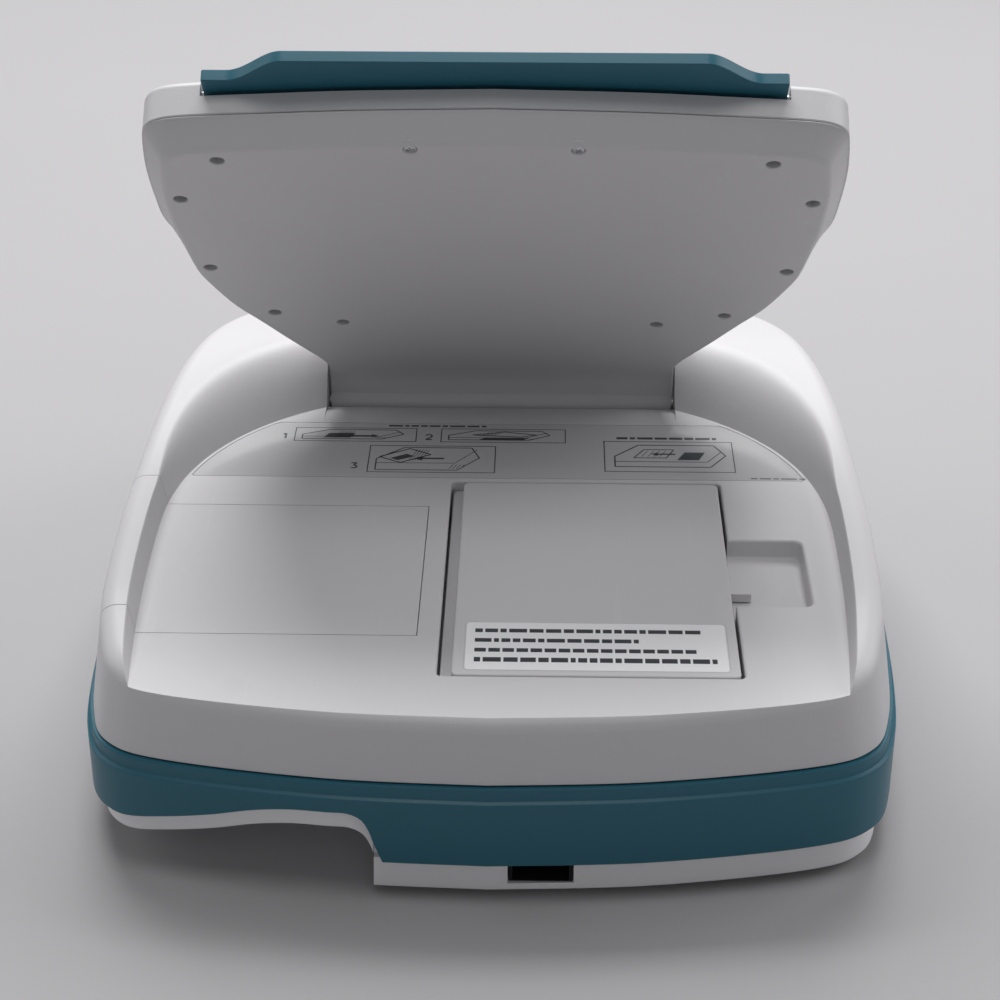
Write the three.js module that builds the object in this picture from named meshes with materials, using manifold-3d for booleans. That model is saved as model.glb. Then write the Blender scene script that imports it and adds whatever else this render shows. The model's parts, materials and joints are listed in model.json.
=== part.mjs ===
// A portable bench recorder: a low base with a removable battery, a sliding paper door over a
// chart roll, and a display on a neck that folds down into the recess on top of the base.
// Millimetres, +Z up. Inside the file, shapes are drawn in (x, d, h): d runs from the rear edge of
// the base towards the operator, and h is measured from the recess floor.
import * as THREE from "three";
import { mergeVertices } from "three/addons/utils/BufferGeometryUtils.js";
import Module from "manifold-3d";

const wasm = await Module();
wasm.setup();

// ---------------------------------------------------------------- driving dimensions
const GAP = 0.3; // between pieces that touch
const SLIDE_GAP = 0.6; // round a piece that slides or turns
const WALL = 2.6; // moulded wall

// base outline
const HALF_WIDTH = 129.5;
const WIDEST_D = 112; // where the base is widest, from its rear edge
const FRONT_POWER = 2.6; // squareness of the front end
const REAR_EDGE = 0.5;
const REAR_CROWN_RADIUS = 411; // the rear edge is an arc of this radius
const CORNER_INSET = 30.5; // from the side to where the rear arc turns into the corner
const BAND_PROUD = 2.6; // coloured band beyond the white shell
const LOWER_REACH = 4.53; // how far each side leans out down to the bottom of the white shell
const OUTLINE_STEPS = 22; // per quarter

// base heights, from the recess floor
const SHELL_BOTTOM = -24;
const BAND_BOTTOM = -53.4;
const HOUSING_HEIGHT = 12.1; // of the housing that shows below the band
const FOOT_HEIGHT = 3;
const FLOOR_THICKNESS = 3;
const RIM_HEIGHT = 11.5;
const SHOULDER_HEIGHT = 21;
const FRONT_HEIGHT = 7;

// recess
const RIM_WIDTH = 11.8; // from the edge of the recess floor to the side of the base
const FLOOR_WIDEST_D = 118;
const FLOOR_SHORT_OF_HINGE = 2;
const FLOOR_POWER = 2.3;
const FLOOR_NEAR_TAPER = 7.5;
const NECK_DROP_RADIUS = 60; // the floor rolls down to the hinge with this radius

// display, in its own frame: s up the back from the neck, t from the back to the screen
const TILT = 50; // degrees above the floor as it stands
const NECK_HALF_WIDTH = 66;
const DISPLAY_LENGTH = 183.6;
const DISPLAY_SIDE_GAP = 2.5; // room beside the display when it lies in the recess
const DISPLAY_THICKNESS = 21;
const PARTING_T = 8;
const BACK_BEVEL = 8;
const SIDE_BEVEL = 6;
const NECK_FRONT_T = 10; // front face of the neck
const HINGE_D = 228;
const FRONT_DECK = 94; // from the hinge to the front edge of the base
const HINGE_H = -5.5;
const HINGE_S = -16.5;
const HINGE_T = -6;
const BARREL_RADIUS = 6.5;
const SHAFT_RADIUS = 2.5;
const DISPLAY_WALL = 2;
const SCREEN_CORNER_MARGIN = 6.12; // beside the lower corners of the screen
const SCREEN_BOTTOM_S = 46;
const SCREEN_TOP_MARGIN = 23.6; // below the top edge of the display

// handle
const HANDLE_SIDE_MARGIN = 22.7; // from the end of the handle to the side of the display
const HANDLE_PIN_DEPTH = 11.1; // pins below the top edge of the display
const HANDLE_END_RISE = 1.4; // the ends of the handle above the top edge
const HANDLE_MIDDLE_RISE = 12.8; // its middle above the top edge
const HANDLE_THICKNESS = 4.1;
const HANDLE_SET_BACK = 0.5; // behind the front face of the display
const HANDLE_HEEL = 2.5; // how far the arms reach below their pins
const HANDLE_BEND_START = 8; // from the end of the handle
const HANDLE_BEND_END = 26.5;
const PIN_RADIUS = 1.5;

// battery
const BATTERY_LEFT = -12;
const BATTERY_RIGHT = 79.5;
const BATTERY_NEAR = 27;
const BATTERY_FAR = 153;
const BATTERY_THICKNESS = 20;
const BATTERY_SLIDE = 4; // free travel to the left, off the contacts
const BATTERY_STEP = 3.8; // the lower part reaches under the floor at the left
const BATTERY_LID = 3; // thickness of the upper part

// finger recess and latch
const FINGER_RIGHT = 106;
const FINGER_NEAR = 70;
const FINGER_FAR = 113;
const FINGER_DEPTH = 7;
const LATCH_LENGTH = 18;
const LATCH_WIDTH = 8.4;
const LATCH_THICKNESS = 3;
const LATCH_TRAVEL = 3;
const LATCH_STEM_WIDTH = 6; // the stem runs down through a slot in the recess floor
const LATCH_STEM_THICKNESS = 2;
const LATCH_STEM_INSET = 2.5; // from the edge of the latch that holds the battery

// paper door, roll and printer
const DOOR_RIGHT = -24;
const DOOR_NEAR = 49.5;
const DOOR_FAR = 134.5;
const ROLL_RADIUS = 18;
const ROLL_SIDE_ROOM = 4.5; // beside the roll, to the edge of the door
const ROLL_CORE_RADIUS = 6;
const ROLL_FROM_PLATEN = 50;
const ROLL_H = -26;
const PLATEN_RADIUS = 5;
const PLATEN_INSET = 17.5; // from the left side of the base
const PLATEN_H = -12;
const GEAR_TEETH = 16;
const PINION_TEETH = 10;
const MODULE = 0.8;
const MOTOR_RADIUS = 6;
const GEAR_WIDTH = 3;

// under-scoop at the rear left
const SCOOP_RIGHT = -38;
const SCOOP_TO_DOOR = 5.5; // from the far end of the scoop to the paper door
const BAND_OVER_SCOOP = 10.7; // height of band that is left over the middle of the scoop
const SCOOP_CORNER_RISE = 6.1; // of the band's lower edge at the corner of the base
const SCOOP_LIP = 8; // housing that shows under the band

// keys on the front deck
const KEY_COUNT = 5;
const KEY_PITCH = 22;
const KEY_WIDTH = 16;
const KEY_DEPTH = 10;
const KEYS_FROM_FRONT = 38;
const KEY_PROUD = 2;
const KEY_MARGIN = 6;
const KEYS_LEFT_BY = 8; // the row of keys makes room for the power key
const KEY_POCKET_H = 4;
const POWER_KEY_PITCH = 26; // from the last key
const POWER_KEY_RADIUS = 5.5;

// ports
const PORT_WIDTH = 21;
const PORT_HEIGHT = 8.6;
const PORT_X = 16.9;
const PORT_FAR = 20;
const PORT_LIFT = 0.9; // above the floor of the housing
const PATIENT_SOCKET_RADIUS = 11;
const PATIENT_SOCKET_D = 150;
const JACK_RADIUS = 4;
const JACK_PITCH = 40; // from the patient socket

const FOOT_RADIUS = 8;
const BOARD_THICKNESS = 1.6;
const INPUT_BOARD_LIFT = 8; // above the main board
const SCREW_RADIUS = 2.1;

// ---------------------------------------------------------------- small tools
const rad = THREE.MathUtils.degToRad;

function solid(geometry) {
  const bare = geometry.index ? geometry.toNonIndexed() : geometry.clone();
  bare.deleteAttribute("normal");
  bare.deleteAttribute("uv");
  const merged = mergeVertices(bare, 1e-4);
  return new wasm.Manifold(
    new wasm.Mesh({
      numProp: 3,
      vertProperties: merged.attributes.position.array,
      triVerts: new Uint32Array(merged.index.array),
    }),
  );
}

function geometryOf(shape) {
  const made = shape.getMesh();
  const points = new Float32Array(made.numVert * 3);
  for (let i = 0; i < made.numVert; i++) {
    points.set(made.vertProperties.subarray(i * made.numProp, i * made.numProp + 3), i * 3);
  }
  const geometry = new THREE.BufferGeometry();
  geometry.setAttribute("position", new THREE.BufferAttribute(points, 3));
  geometry.setIndex(new THREE.BufferAttribute(new Uint32Array(made.triVerts), 1));
  return geometry;
}

// A flat outline raised from one height to another.
function prism(points, low, high) {
  const shape = new THREE.Shape(points);
  const geometry = new THREE.ExtrudeGeometry(shape, { depth: high - low, bevelEnabled: false });
  return solid(geometry.translate(0, 0, low));
}

// A side profile of (d, h) points, swept from one x to another.
function sweepX(profile, left, right) {
  const shape = new THREE.Shape(profile);
  const geometry = new THREE.ExtrudeGeometry(shape, { depth: right - left, bevelEnabled: false });
  geometry.rotateX(Math.PI / 2).rotateZ(Math.PI / 2);
  return solid(geometry.translate(left, 0, 0));
}

function box(left, right, near, far, low, high) {
  const geometry = new THREE.BoxGeometry(right - left, far - near, high - low);
  return solid(geometry.translate((left + right) / 2, (near + far) / 2, (low + high) / 2));
}

function cylinderX(radius, left, right, d, h, sides = 24) {
  const geometry = new THREE.CylinderGeometry(radius, radius, right - left, sides);
  return solid(geometry.rotateZ(Math.PI / 2).translate((left + right) / 2, d, h));
}

function cylinderY(radius, near, far, x, h, sides = 24) {
  const geometry = new THREE.CylinderGeometry(radius, radius, far - near, sides);
  return solid(geometry.translate(x, (near + far) / 2, h));
}

function cylinderZ(radius, low, high, x, d, sides = 24) {
  const geometry = new THREE.CylinderGeometry(radius, radius, high - low, sides);
  return solid(geometry.rotateX(Math.PI / 2).translate(x, d, (low + high) / 2));
}

const at = (x, y) => new THREE.Vector2(x, y);

function roundedRectangle(left, right, low, high, radius, steps = 4) {
  const corners = [
    [right - radius, low + radius, -90],
    [right - radius, high - radius, 0],
    [left + radius, high - radius, 90],
    [left + radius, low + radius, 180],
  ];
  const points = [];
  for (const [x, y, start] of corners) {
    for (let i = 0; i <= steps; i++) {
      const angle = rad(start + (90 * i) / steps);
      points.push(at(x + radius * Math.cos(angle), y + radius * Math.sin(angle)));
    }
  }
  return points;
}

// Moves each point of a closed outline outwards along its normal.
function grown(points, distance) {
  return points.map((p, i) => {
    const before = points[(i + points.length - 1) % points.length];
    const after = points[(i + 1) % points.length];
    const tangent = at(after.x - before.x, after.y - before.y).normalize();
    const reach = typeof distance === "function" ? distance(p) : distance;
    return at(p.x + tangent.y * reach, p.y - tangent.x * reach);
  });
}

// Half the width of a mirrored outline at a place along its middle line.
function halfWidthAt(outline, y) {
  const right = outline.filter((p) => p.x > 0).sort((a, b) => a.y - b.y);
  const next = right.findIndex((p) => p.y > y);
  const a = right[next - 1];
  const b = right[next];
  return a.x + ((b.x - a.x) * (y - a.y)) / (b.y - a.y);
}

// Every outline here is the mirror of itself: its first point and its last are a pair, or its
// first point lies on the middle line. Its cap is a ladder of triangles from pair to pair.
function capTriangles(count, onMiddle) {
  const triangles = [];
  if (onMiddle) {
    triangles.push([0, 1, count - 1]);
    for (let i = 1; i < count / 2 - 1; i++) {
      triangles.push([i, i + 1, count - i], [i + 1, count - i - 1, count - i]);
    }
    triangles.push([count / 2 - 1, count / 2, count / 2 + 1]);
    return triangles;
  }
  for (let i = 0; i < count / 2 - 1; i++) {
    triangles.push([i, i + 1, count - 1 - i], [i + 1, count - 2 - i, count - 1 - i]);
  }
  return triangles;
}

// Joins rings of points, all with the same count, into one closed body.
function loft(rings) {
  const count = rings[0].length;
  const startsOnMiddle = Math.abs(rings[0][0].x) < 1e-6;
  const points = rings.flat();
  const faces = [];
  for (let k = 0; k + 1 < rings.length; k++) {
    for (let i = 0; i < count; i++) {
      const a = k * count + i;
      const b = k * count + ((i + 1) % count);
      faces.push(a, b, b + count, a, b + count, a + count);
    }
  }
  const top = (rings.length - 1) * count;
  for (const [a, b, c] of capTriangles(count, startsOnMiddle)) {
    faces.push(a, c, b);
    faces.push(top + a, top + b, top + c);
  }
  const geometry = new THREE.BufferGeometry().setFromPoints(points);
  geometry.setIndex(faces);
  return solid(geometry);
}

const plate = (outline, low, high) => loft([raised(outline, low), raised(outline, high)]);

const raised = (points, height) =>
  points.map((p) => {
    const z = typeof height === "function" ? height(p) : height;
    return new THREE.Vector3(p.x, p.y, z);
  });

function smoothStep(from, to, value) {
  const share = THREE.MathUtils.clamp((value - from) / (to - from), 0, 1);
  return share * share * (3 - 2 * share);
}

// A half outline from the rear centre to the front centre becomes a whole one, counter-clockwise.
function wholeOutline(half) {
  const mirrored = half.slice(1, -1).reverse();
  return [...half, ...mirrored.map((p) => at(-p.x, p.y))];
}

// ---------------------------------------------------------------- outlines of the base
const frontD = HINGE_D + FRONT_DECK;
const floorEndD = HINGE_D - FLOOR_SHORT_OF_HINGE;
const frontReach = frontD - WIDEST_D;
const floorReach = floorEndD - FLOOR_WIDEST_D;
const floorHalfWidth = HALF_WIDTH - RIM_WIDTH;

function baseHalfOutline() {
  const cornerX = HALF_WIDTH - CORNER_INSET;
  const rearArc = (x) => REAR_EDGE + (x * x) / (2 * REAR_CROWN_RADIUS);
  const corner = new THREE.SplineCurve([
    at(0, rearArc(0)),
    at(cornerX / 2, rearArc(cornerX / 2)),
    at(cornerX, rearArc(cornerX)),
    at(HALF_WIDTH - 12, 22),
    at(HALF_WIDTH - 5, 40),
    at(HALF_WIDTH - 1.6, 70),
    at(HALF_WIDTH, WIDEST_D),
  ]);
  const rear = corner.getSpacedPoints(OUTLINE_STEPS + 6);
  const front = [];
  for (let i = 1; i <= OUTLINE_STEPS; i++) {
    const angle = (Math.PI / 2) * (i / OUTLINE_STEPS);
    const x = HALF_WIDTH * Math.pow(Math.cos(angle), 2 / FRONT_POWER);
    const y = frontReach * Math.pow(Math.sin(angle), 2 / FRONT_POWER);
    front.push(at(i === OUTLINE_STEPS ? 0 : x, WIDEST_D + y));
  }
  return [...rear, ...front];
}

function floorHalfOutline() {
  const near = [];
  const startD = -20;
  for (let i = 0; i <= 8; i++) {
    const d = startD + ((FLOOR_WIDEST_D - startD) * i) / 8;
    const share = (FLOOR_WIDEST_D - d) / FLOOR_WIDEST_D;
    near.push(at(floorHalfWidth - FLOOR_NEAR_TAPER * share * share, d));
  }
  const far = [];
  for (let i = 1; i <= OUTLINE_STEPS; i++) {
    const angle = (Math.PI / 2) * (i / OUTLINE_STEPS);
    const x = floorHalfWidth * Math.pow(Math.cos(angle), 2 / FLOOR_POWER);
    const y = floorReach * Math.pow(Math.sin(angle), 2 / FLOOR_POWER);
    far.push(at(i === OUTLINE_STEPS ? 0 : x, FLOOR_WIDEST_D + y));
  }
  return [at(0, startD), ...near, ...far];
}

const baseOutline = wholeOutline(baseHalfOutline());
const lowOutline = baseOutline.map((p) => at(p.x * (1 + LOWER_REACH / HALF_WIDTH), p.y));
const floorOutline = wholeOutline(floorHalfOutline());

// Height of the shell's top above the recess floor, outside the recess.
function crestHeight(d) {
  const rim = RIM_HEIGHT * smoothStep(-12, 62, d);
  const shoulder = (SHOULDER_HEIGHT - RIM_HEIGHT) * smoothStep(130, floorEndD + 4, d);
  const fall = (SHOULDER_HEIGHT - FRONT_HEIGHT) * smoothStep(floorEndD + 4, frontD, d);
  return rim + shoulder - fall;
}

// How far the recess wall leans out from the floor's edge before it reaches the crest.
const wallLean = (d) => 2 + 22 * smoothStep(125, floorEndD - 6, d);

// ---------------------------------------------------------------- shared places
const barLeft = -NECK_HALF_WIDTH - SLIDE_GAP - 0.4;
const channelNear = HINGE_D - 10;
const channelFar = HINGE_D + 14.5;
const channelBottom = HINGE_H - BARREL_RADIUS - 2.5;
const wellLeft = BATTERY_LEFT - BATTERY_SLIDE - SLIDE_GAP;
const wellLowLeft = wellLeft - BATTERY_STEP;
const wellRight = BATTERY_RIGHT + SLIDE_GAP + 0.5;
const wellNear = BATTERY_NEAR - SLIDE_GAP;
const wellFar = BATTERY_FAR + SLIDE_GAP;
const wellBottom = -BATTERY_THICKNESS - SLIDE_GAP;
const tubWall = 2;
const latchD = (FINGER_NEAR + FINGER_FAR) / 2;
const latchLeft = BATTERY_RIGHT - 1.2;
const stemLeft = latchLeft + LATCH_STEM_INSET;
const stemRight = stemLeft + LATCH_STEM_THICKNESS;
const rollD = (DOOR_NEAR + DOOR_FAR) / 2;
const gearRadius = (GEAR_TEETH * MODULE) / 2;
const pinionRadius = (PINION_TEETH * MODULE) / 2;
const platenX = PLATEN_INSET - HALF_WIDTH;
const rollX = platenX + ROLL_FROM_PLATEN;
const rollWidth = DOOR_FAR - DOOR_NEAR - 2 * ROLL_SIDE_ROOM;
const bayLeft = rollX - ROLL_RADIUS - 4;
const bayRight = rollX + ROLL_RADIUS + 4;
const pinionX = platenX + gearRadius + pinionRadius;
const motorX = platenX + PLATEN_RADIUS + MOTOR_RADIUS + 1.4;
const gearFar = DOOR_FAR - WALL - SLIDE_GAP;
const housingBottom = BAND_BOTTOM - HOUSING_HEIGHT;
const scoopDepth = DOOR_NEAR - SCOOP_TO_DOOR;
const scoopTop = SHELL_BOTTOM - BAND_OVER_SCOOP;
const scoopCornerH = BAND_BOTTOM + SCOOP_CORNER_RISE;
const portLow = housingBottom + WALL + PORT_LIFT;
const jackD = PATIENT_SOCKET_D + JACK_PITCH;
const powerKeyX = keyPlaces()[KEY_COUNT - 1] + POWER_KEY_PITCH;
const displayHalfWidth = floorHalfWidth - DISPLAY_SIDE_GAP;
const screenHalf = halfWidthAt(displayHalfOutline(), SCREEN_BOTTOM_S) - SCREEN_CORNER_MARGIN;
const keyD = frontD - KEYS_FROM_FRONT;
const screenTop = DISPLAY_LENGTH - SCREEN_TOP_MARGIN;
const handleHalfSpan = displayHalfWidth - HANDLE_SIDE_MARGIN;
const handlePinS = DISPLAY_LENGTH - HANDLE_PIN_DEPTH;
const handleT = DISPLAY_THICKNESS - HANDLE_SET_BACK - HANDLE_THICKNESS / 2;
const handleSweep = Math.hypot(HANDLE_HEEL, HANDLE_THICKNESS / 2); // of the heel round the pin
const keyPanelLeft = keyPlaces()[0] - KEY_WIDTH / 2 - KEY_MARGIN;
const keyPanelRight = powerKeyX + POWER_KEY_RADIUS + KEY_MARGIN;
const bracketX = NECK_HALF_WIDTH + 7;
const bracketHalf = 3;
const boardH = housingBottom + WALL + 3;
const footH = housingBottom - FOOT_HEIGHT;

// ---------------------------------------------------------------- base shells
function upperShell() {
  const edge = 6;
  const rings = [raised(lowOutline, SHELL_BOTTOM)];
  for (const share of [1, 0.5, 0.15]) {
    const inset = edge * (1 - Math.sqrt(1 - (1 - share) ** 2));
    rings.push(raised(grown(baseOutline, -inset), (p) => crestHeight(p.y) - edge * share * 0.9));
  }
  rings.push(raised(grown(baseOutline, -edge), (p) => crestHeight(p.y)));
  const inner = grown(baseOutline, -edge);
  for (let k = 1; k <= 7; k++) {
    const ring = inner.map((p) => at(p.x * (1 - k * 0.13), p.y));
    rings.push(raised(ring, (p) => crestHeight(p.y)));
  }
  return loft(rings);
}

// The room under the recess floor, inside a wall that spreads downwards.
function shellHollow() {
  const low = grown(lowOutline, -WALL);
  const high = grown(baseOutline, -WALL);
  return loft([raised(low, SHELL_BOTTOM - 1), raised(low, SHELL_BOTTOM), raised(high, -FLOOR_THICKNESS)]);
}

function recessCutter() {
  const rings = [raised(floorOutline, 0)];
  for (const share of [0.15, 0.35, 0.6, 0.85, 1]) {
    const ring = grown(floorOutline, (p) => share * wallLean(p.y));
    const rise = Math.sin((Math.PI / 2) * share);
    rings.push(raised(ring, (p) => Math.max(0.05 + share, crestHeight(p.y) * rise)));
  }
  const last = grown(floorOutline, (p) => wallLean(p.y));
  rings.push(raised(last, SHOULDER_HEIGHT + 20));
  return loft(rings);
}

// The floor rolls down to the hinge channel between the shoulders.
function neckDropCutter() {
  const start = channelNear + 12 - NECK_DROP_RADIUS / 2;
  const clear = SHOULDER_HEIGHT + 20;
  const profile = [at(start, clear), at(start, 0)];
  for (let i = 1; i <= 6; i++) {
    const angle = rad(5 * i);
    profile.push(at(start + NECK_DROP_RADIUS * Math.sin(angle), NECK_DROP_RADIUS * (Math.cos(angle) - 1)));
  }
  profile.push(at(channelNear + 15, channelBottom), at(channelNear + 15, clear));
  return sweepX(profile.reverse(), barLeft, -barLeft);
}

function makeUpperShell() {
  let shell = upperShell().subtract(recessCutter());
  const inside = grown(baseOutline, -WALL);
  shell = shell.subtract(shellHollow());
  const deck = box(-200, 200, channelFar + WALL, frontD + 9, SHELL_BOTTOM, 2);
  shell = shell.subtract(deck.intersect(prism(inside, SHELL_BOTTOM - 1, 2)));
  // battery tub and the finger recess beside it
  shell = shell.add(
    box(wellLowLeft - tubWall, wellRight + tubWall, wellNear - tubWall, wellFar + tubWall,
      wellBottom - tubWall, -1),
  );
  shell = shell.add(
    box(wellRight, FINGER_RIGHT + tubWall, FINGER_NEAR - tubWall, FINGER_FAR + tubWall,
      -FINGER_DEPTH - tubWall, -1),
  );
  shell = shell.subtract(prism(
    roundedRectangle(wellLeft, wellRight, wellNear, wellFar, 2), wellBottom, 5));
  shell = shell.subtract(prism(
    roundedRectangle(wellLowLeft, wellRight, wellNear, wellFar, 2), wellBottom, -BATTERY_LID));
  shell = shell.subtract(prism(
    roundedRectangle(wellRight - 6, FINGER_RIGHT, FINGER_NEAR, FINGER_FAR, 2.5), -FINGER_DEPTH, 5));
  // slot in the recess floor that the latch's stem slides in
  const stemHalf = LATCH_STEM_WIDTH / 2 + SLIDE_GAP;
  shell = shell.subtract(box(stemLeft - SLIDE_GAP, stemRight + SLIDE_GAP + LATCH_TRAVEL,
    latchD - stemHalf, latchD + stemHalf, -20, 0));
  // trough for the neck's barrel
  shell = shell.add(box(barLeft - WALL, -barLeft + WALL, channelNear - WALL, channelFar + WALL,
    channelBottom - WALL, -1));
  shell = shell.subtract(neckDropCutter());
  shell = shell.subtract(box(barLeft, -barLeft, channelNear, channelFar, channelBottom, 60));
  // seats for the hinge brackets, in the shoulders, and the way of the shaft between them
  const shaftWay = bracketX + bracketHalf;
  shell = shell.subtract(cylinderX(SHAFT_RADIUS + SLIDE_GAP, -shaftWay, shaftWay, HINGE_D, HINGE_H, 16));
  for (const side of [-1, 1]) {
    const x = side * bracketX;
    shell = shell.subtract(box(x - bracketHalf - GAP, x + bracketHalf + GAP, HINGE_D - 9 - GAP,
      HINGE_D + 9 + GAP, -40, HINGE_H + 8 + GAP));
  }
  // opening for the paper door through the floor, the rim and the left wall
  shell = shell.subtract(box(-200, DOOR_RIGHT + GAP, DOOR_NEAR - GAP, DOOR_FAR + GAP,
    SHELL_BOTTOM - 1, 60));
  // pocket and holes for the keys
  shell = shell.subtract(prism(
    roundedRectangle(keyPanelLeft, keyPanelRight, keyD - KEY_DEPTH, keyD + KEY_DEPTH, 4),
    KEY_POCKET_H, 60));
  for (const x of keyPlaces()) {
    shell = shell.subtract(box(x - KEY_WIDTH / 2 - SLIDE_GAP, x + KEY_WIDTH / 2 + SLIDE_GAP,
      keyD - KEY_DEPTH / 2 - SLIDE_GAP, keyD + KEY_DEPTH / 2 + SLIDE_GAP, 0, 60));
  }
  shell = shell.subtract(cylinderZ(POWER_KEY_RADIUS + SLIDE_GAP, 0, 60, powerKeyX, keyD));
  // shallow seat for the instruction label
  return shell.subtract(prism(labelOutline(GAP), -0.5, 0.5));
}

function keyPlaces() {
  return Array.from({ length: KEY_COUNT }, (_, i) => (i - (KEY_COUNT - 1) / 2) * KEY_PITCH - KEYS_LEFT_BY);
}

function labelOutline(extra) {
  const near = Math.max(BATTERY_FAR, DOOR_FAR) + 3.2 - extra;
  const far = floorEndD - 27 + extra;
  const whole = grown(floorOutline, extra - 1.5);
  const inside = whole.filter((p) => p.y > near && p.y < far);
  const right = inside.filter((p) => p.x > 0);
  const left = inside.filter((p) => p.x < 0);
  const nearX = halfWidthAt(whole, near);
  const farX = halfWidthAt(whole, far);
  return [at(-nearX, near), at(nearX, near), ...right, at(farX, far), at(-farX, far), ...left];
}

function makeAccentBand() {
  const outer = grown(lowOutline, BAND_PROUD);
  const inner = grown(lowOutline, -WALL - GAP);
  const step = grown(lowOutline, BAND_PROUD - 1.4);
  const topStep = 5;
  let band = prism(step, SHELL_BOTTOM - topStep, SHELL_BOTTOM - GAP);
  band = band.add(prism(outer, BAND_BOTTOM, SHELL_BOTTOM - topStep + 0.01));
  band = band.subtract(prism(inner, BAND_BOTTOM - 1, SHELL_BOTTOM + 1));
  band = band.subtract(cylinderX(PATIENT_SOCKET_RADIUS, 0, 2 * HALF_WIDTH, PATIENT_SOCKET_D, bandMiddleH, 32));
  band = band.subtract(cylinderX(JACK_RADIUS + 1.2, 0, 2 * HALF_WIDTH, jackD, bandMiddleH, 20));
  return band.subtract(alongDepth(scoopEdge(0), -20, scoopDepth + GAP));
}

// The lower edge over the scoop, from the corner of the base to the scoop's right wall, closed
// below: it rises in a long curve and drops steeply.
function scoopEdge(lower) {
  const right = SCOOP_RIGHT;
  return [
    at(-200, scoopCornerH - lower),
    at(right - 80, scoopCornerH - lower),
    at(right - 66, scoopCornerH + 3.2 - lower),
    at(right - 50, scoopTop - 5.8 - lower),
    at(right - 36, scoopTop - 2 - lower),
    at(right - 24, scoopTop - lower),
    at(right - 6, scoopTop - lower),
    at(right - 1, scoopTop - 3 - lower),
    at(right + 2, scoopTop - 10 - lower),
    at(right + 5.5 - (lower ? 4 : 0), BAND_BOTTOM - (lower ? 20 : 1)),
    at(-200, BAND_BOTTOM - (lower ? 20 : 1)),
  ].reverse();
}

// An outline of (x, h) points swept along the depth of the base.
function alongDepth(points, near, far) {
  const geometry = new THREE.ExtrudeGeometry(new THREE.Shape(points),
    { depth: far - near, bevelEnabled: false });
  return solid(geometry.rotateX(Math.PI / 2).translate(0, far, 0));
}

function makeLowerHousing() {
  const outer = grown(lowOutline, -1);
  const foot = grown(lowOutline, -2);
  const inner = grown(lowOutline, -2 - WALL);
  const low = housingBottom;
  let housing = loft([raised(foot, low), raised(outer, low + 1), raised(outer, BAND_BOTTOM - GAP)]);
  housing = housing.subtract(prism(inner, low + WALL, BAND_BOTTOM + 1));
  // rear port hole
  housing = housing.subtract(box(PORT_X - PORT_WIDTH / 2, PORT_X + PORT_WIDTH / 2, -10,
    PORT_FAR + GAP, portLow - 2 * GAP, BAND_BOTTOM + 1));
  // the scoop: a hand hollow under the rear left, with its own roof and walls
  const within = grown(lowOutline, -WALL - 2 * GAP);
  const tub = alongDepth(scoopEdge(GAP), -20, scoopDepth + WALL)
    .add(box(SCOOP_RIGHT, SCOOP_RIGHT + WALL + 5, -10, scoopDepth + WALL, low, BAND_BOTTOM + 14));
  const proud = prism(outer, low, BAND_BOTTOM + 30);
  const behindBand = prism(within, low, scoopTop - GAP);
  const shown = alongDepth(scoopEdge(GAP), -20, scoopDepth).intersect(proud);
  housing = housing.add(tub.intersect(behindBand)).add(shown.intersect(proud));
  housing = housing.subtract(alongDepth(scoopEdge(SCOOP_LIP), -20, scoopDepth));
  // bosses under the corners of the boards
  for (const [x, d, top] of boardBosses()) {
    housing = housing.add(cylinderZ(3, low + 1, top - GAP, x, d, 16));
  }
  return housing;
}

function boardBosses() {
  const raisedTop = boardH + INPUT_BOARD_LIFT;
  return [[-25, 71, boardH], [91, 71, boardH], [-25, 231, boardH], [91, 231, boardH],
    [108, 124, raisedTop], [108, 176, raisedTop]];
}

// Where the outer face of the band lies at a place along the side.
function bandX(d) {
  const side = grown(lowOutline, BAND_PROUD).filter((p) => p.x > 0);
  const near = side.reduce((a, b) => (Math.abs(b.y - d) < Math.abs(a.y - d) ? b : a));
  return near.x;
}

const bandMiddleH = (SHELL_BOTTOM + BAND_BOTTOM) / 2;

function makePatientSocket() {
  const face = bandX(PATIENT_SOCKET_D) - 0.6;
  const body = cylinderX(PATIENT_SOCKET_RADIUS - GAP, face - 18, face, PATIENT_SOCKET_D, bandMiddleH, 32);
  const bore = cylinderX(PATIENT_SOCKET_RADIUS - 3, face - 12, face + 1, PATIENT_SOCKET_D, bandMiddleH);
  return body.subtract(bore);
}

function makePowerInlet() {
  const face = bandX(jackD) - 0.6;
  const body = cylinderX(JACK_RADIUS + 1.2 - GAP, face - 14, face, jackD, bandMiddleH, 20);
  return body.subtract(cylinderX(JACK_RADIUS - 0.5, face - 10, face + 1, jackD, bandMiddleH, 16));
}

// ---------------------------------------------------------------- the paper door and printer
function makePaperDoor() {
  const left = -200;
  let door = upperShell().subtract(recessCutter());
  door = door.intersect(box(left, DOOR_RIGHT, DOOR_NEAR, DOOR_FAR, SHELL_BOTTOM + GAP, 60));
  const inside = grown(baseOutline, -WALL);
  door = door.subtract(shellHollow());
  // two cheeks that carry the platen
  const cheekLeft = platenX - 9;
  for (const near of [DOOR_NEAR + 1, DOOR_FAR - 1 - WALL]) {
    door = door.add(box(cheekLeft, platenX + 7, near, near + WALL, PLATEN_H - 4.5, -1)
      .intersect(prism(inside, SHELL_BOTTOM, 0)));
  }
  const bore = cylinderY(PIN_RADIUS + SLIDE_GAP, DOOR_NEAR - 5, DOOR_FAR + 5, platenX, PLATEN_H);
  // paper slot in the side wall
  const slot = box(left, platenX - 9, DOOR_NEAR + 4, DOOR_FAR - 4, PLATEN_H - 8.5, PLATEN_H - 5.5);
  return door.subtract(bore).subtract(slot);
}

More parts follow.
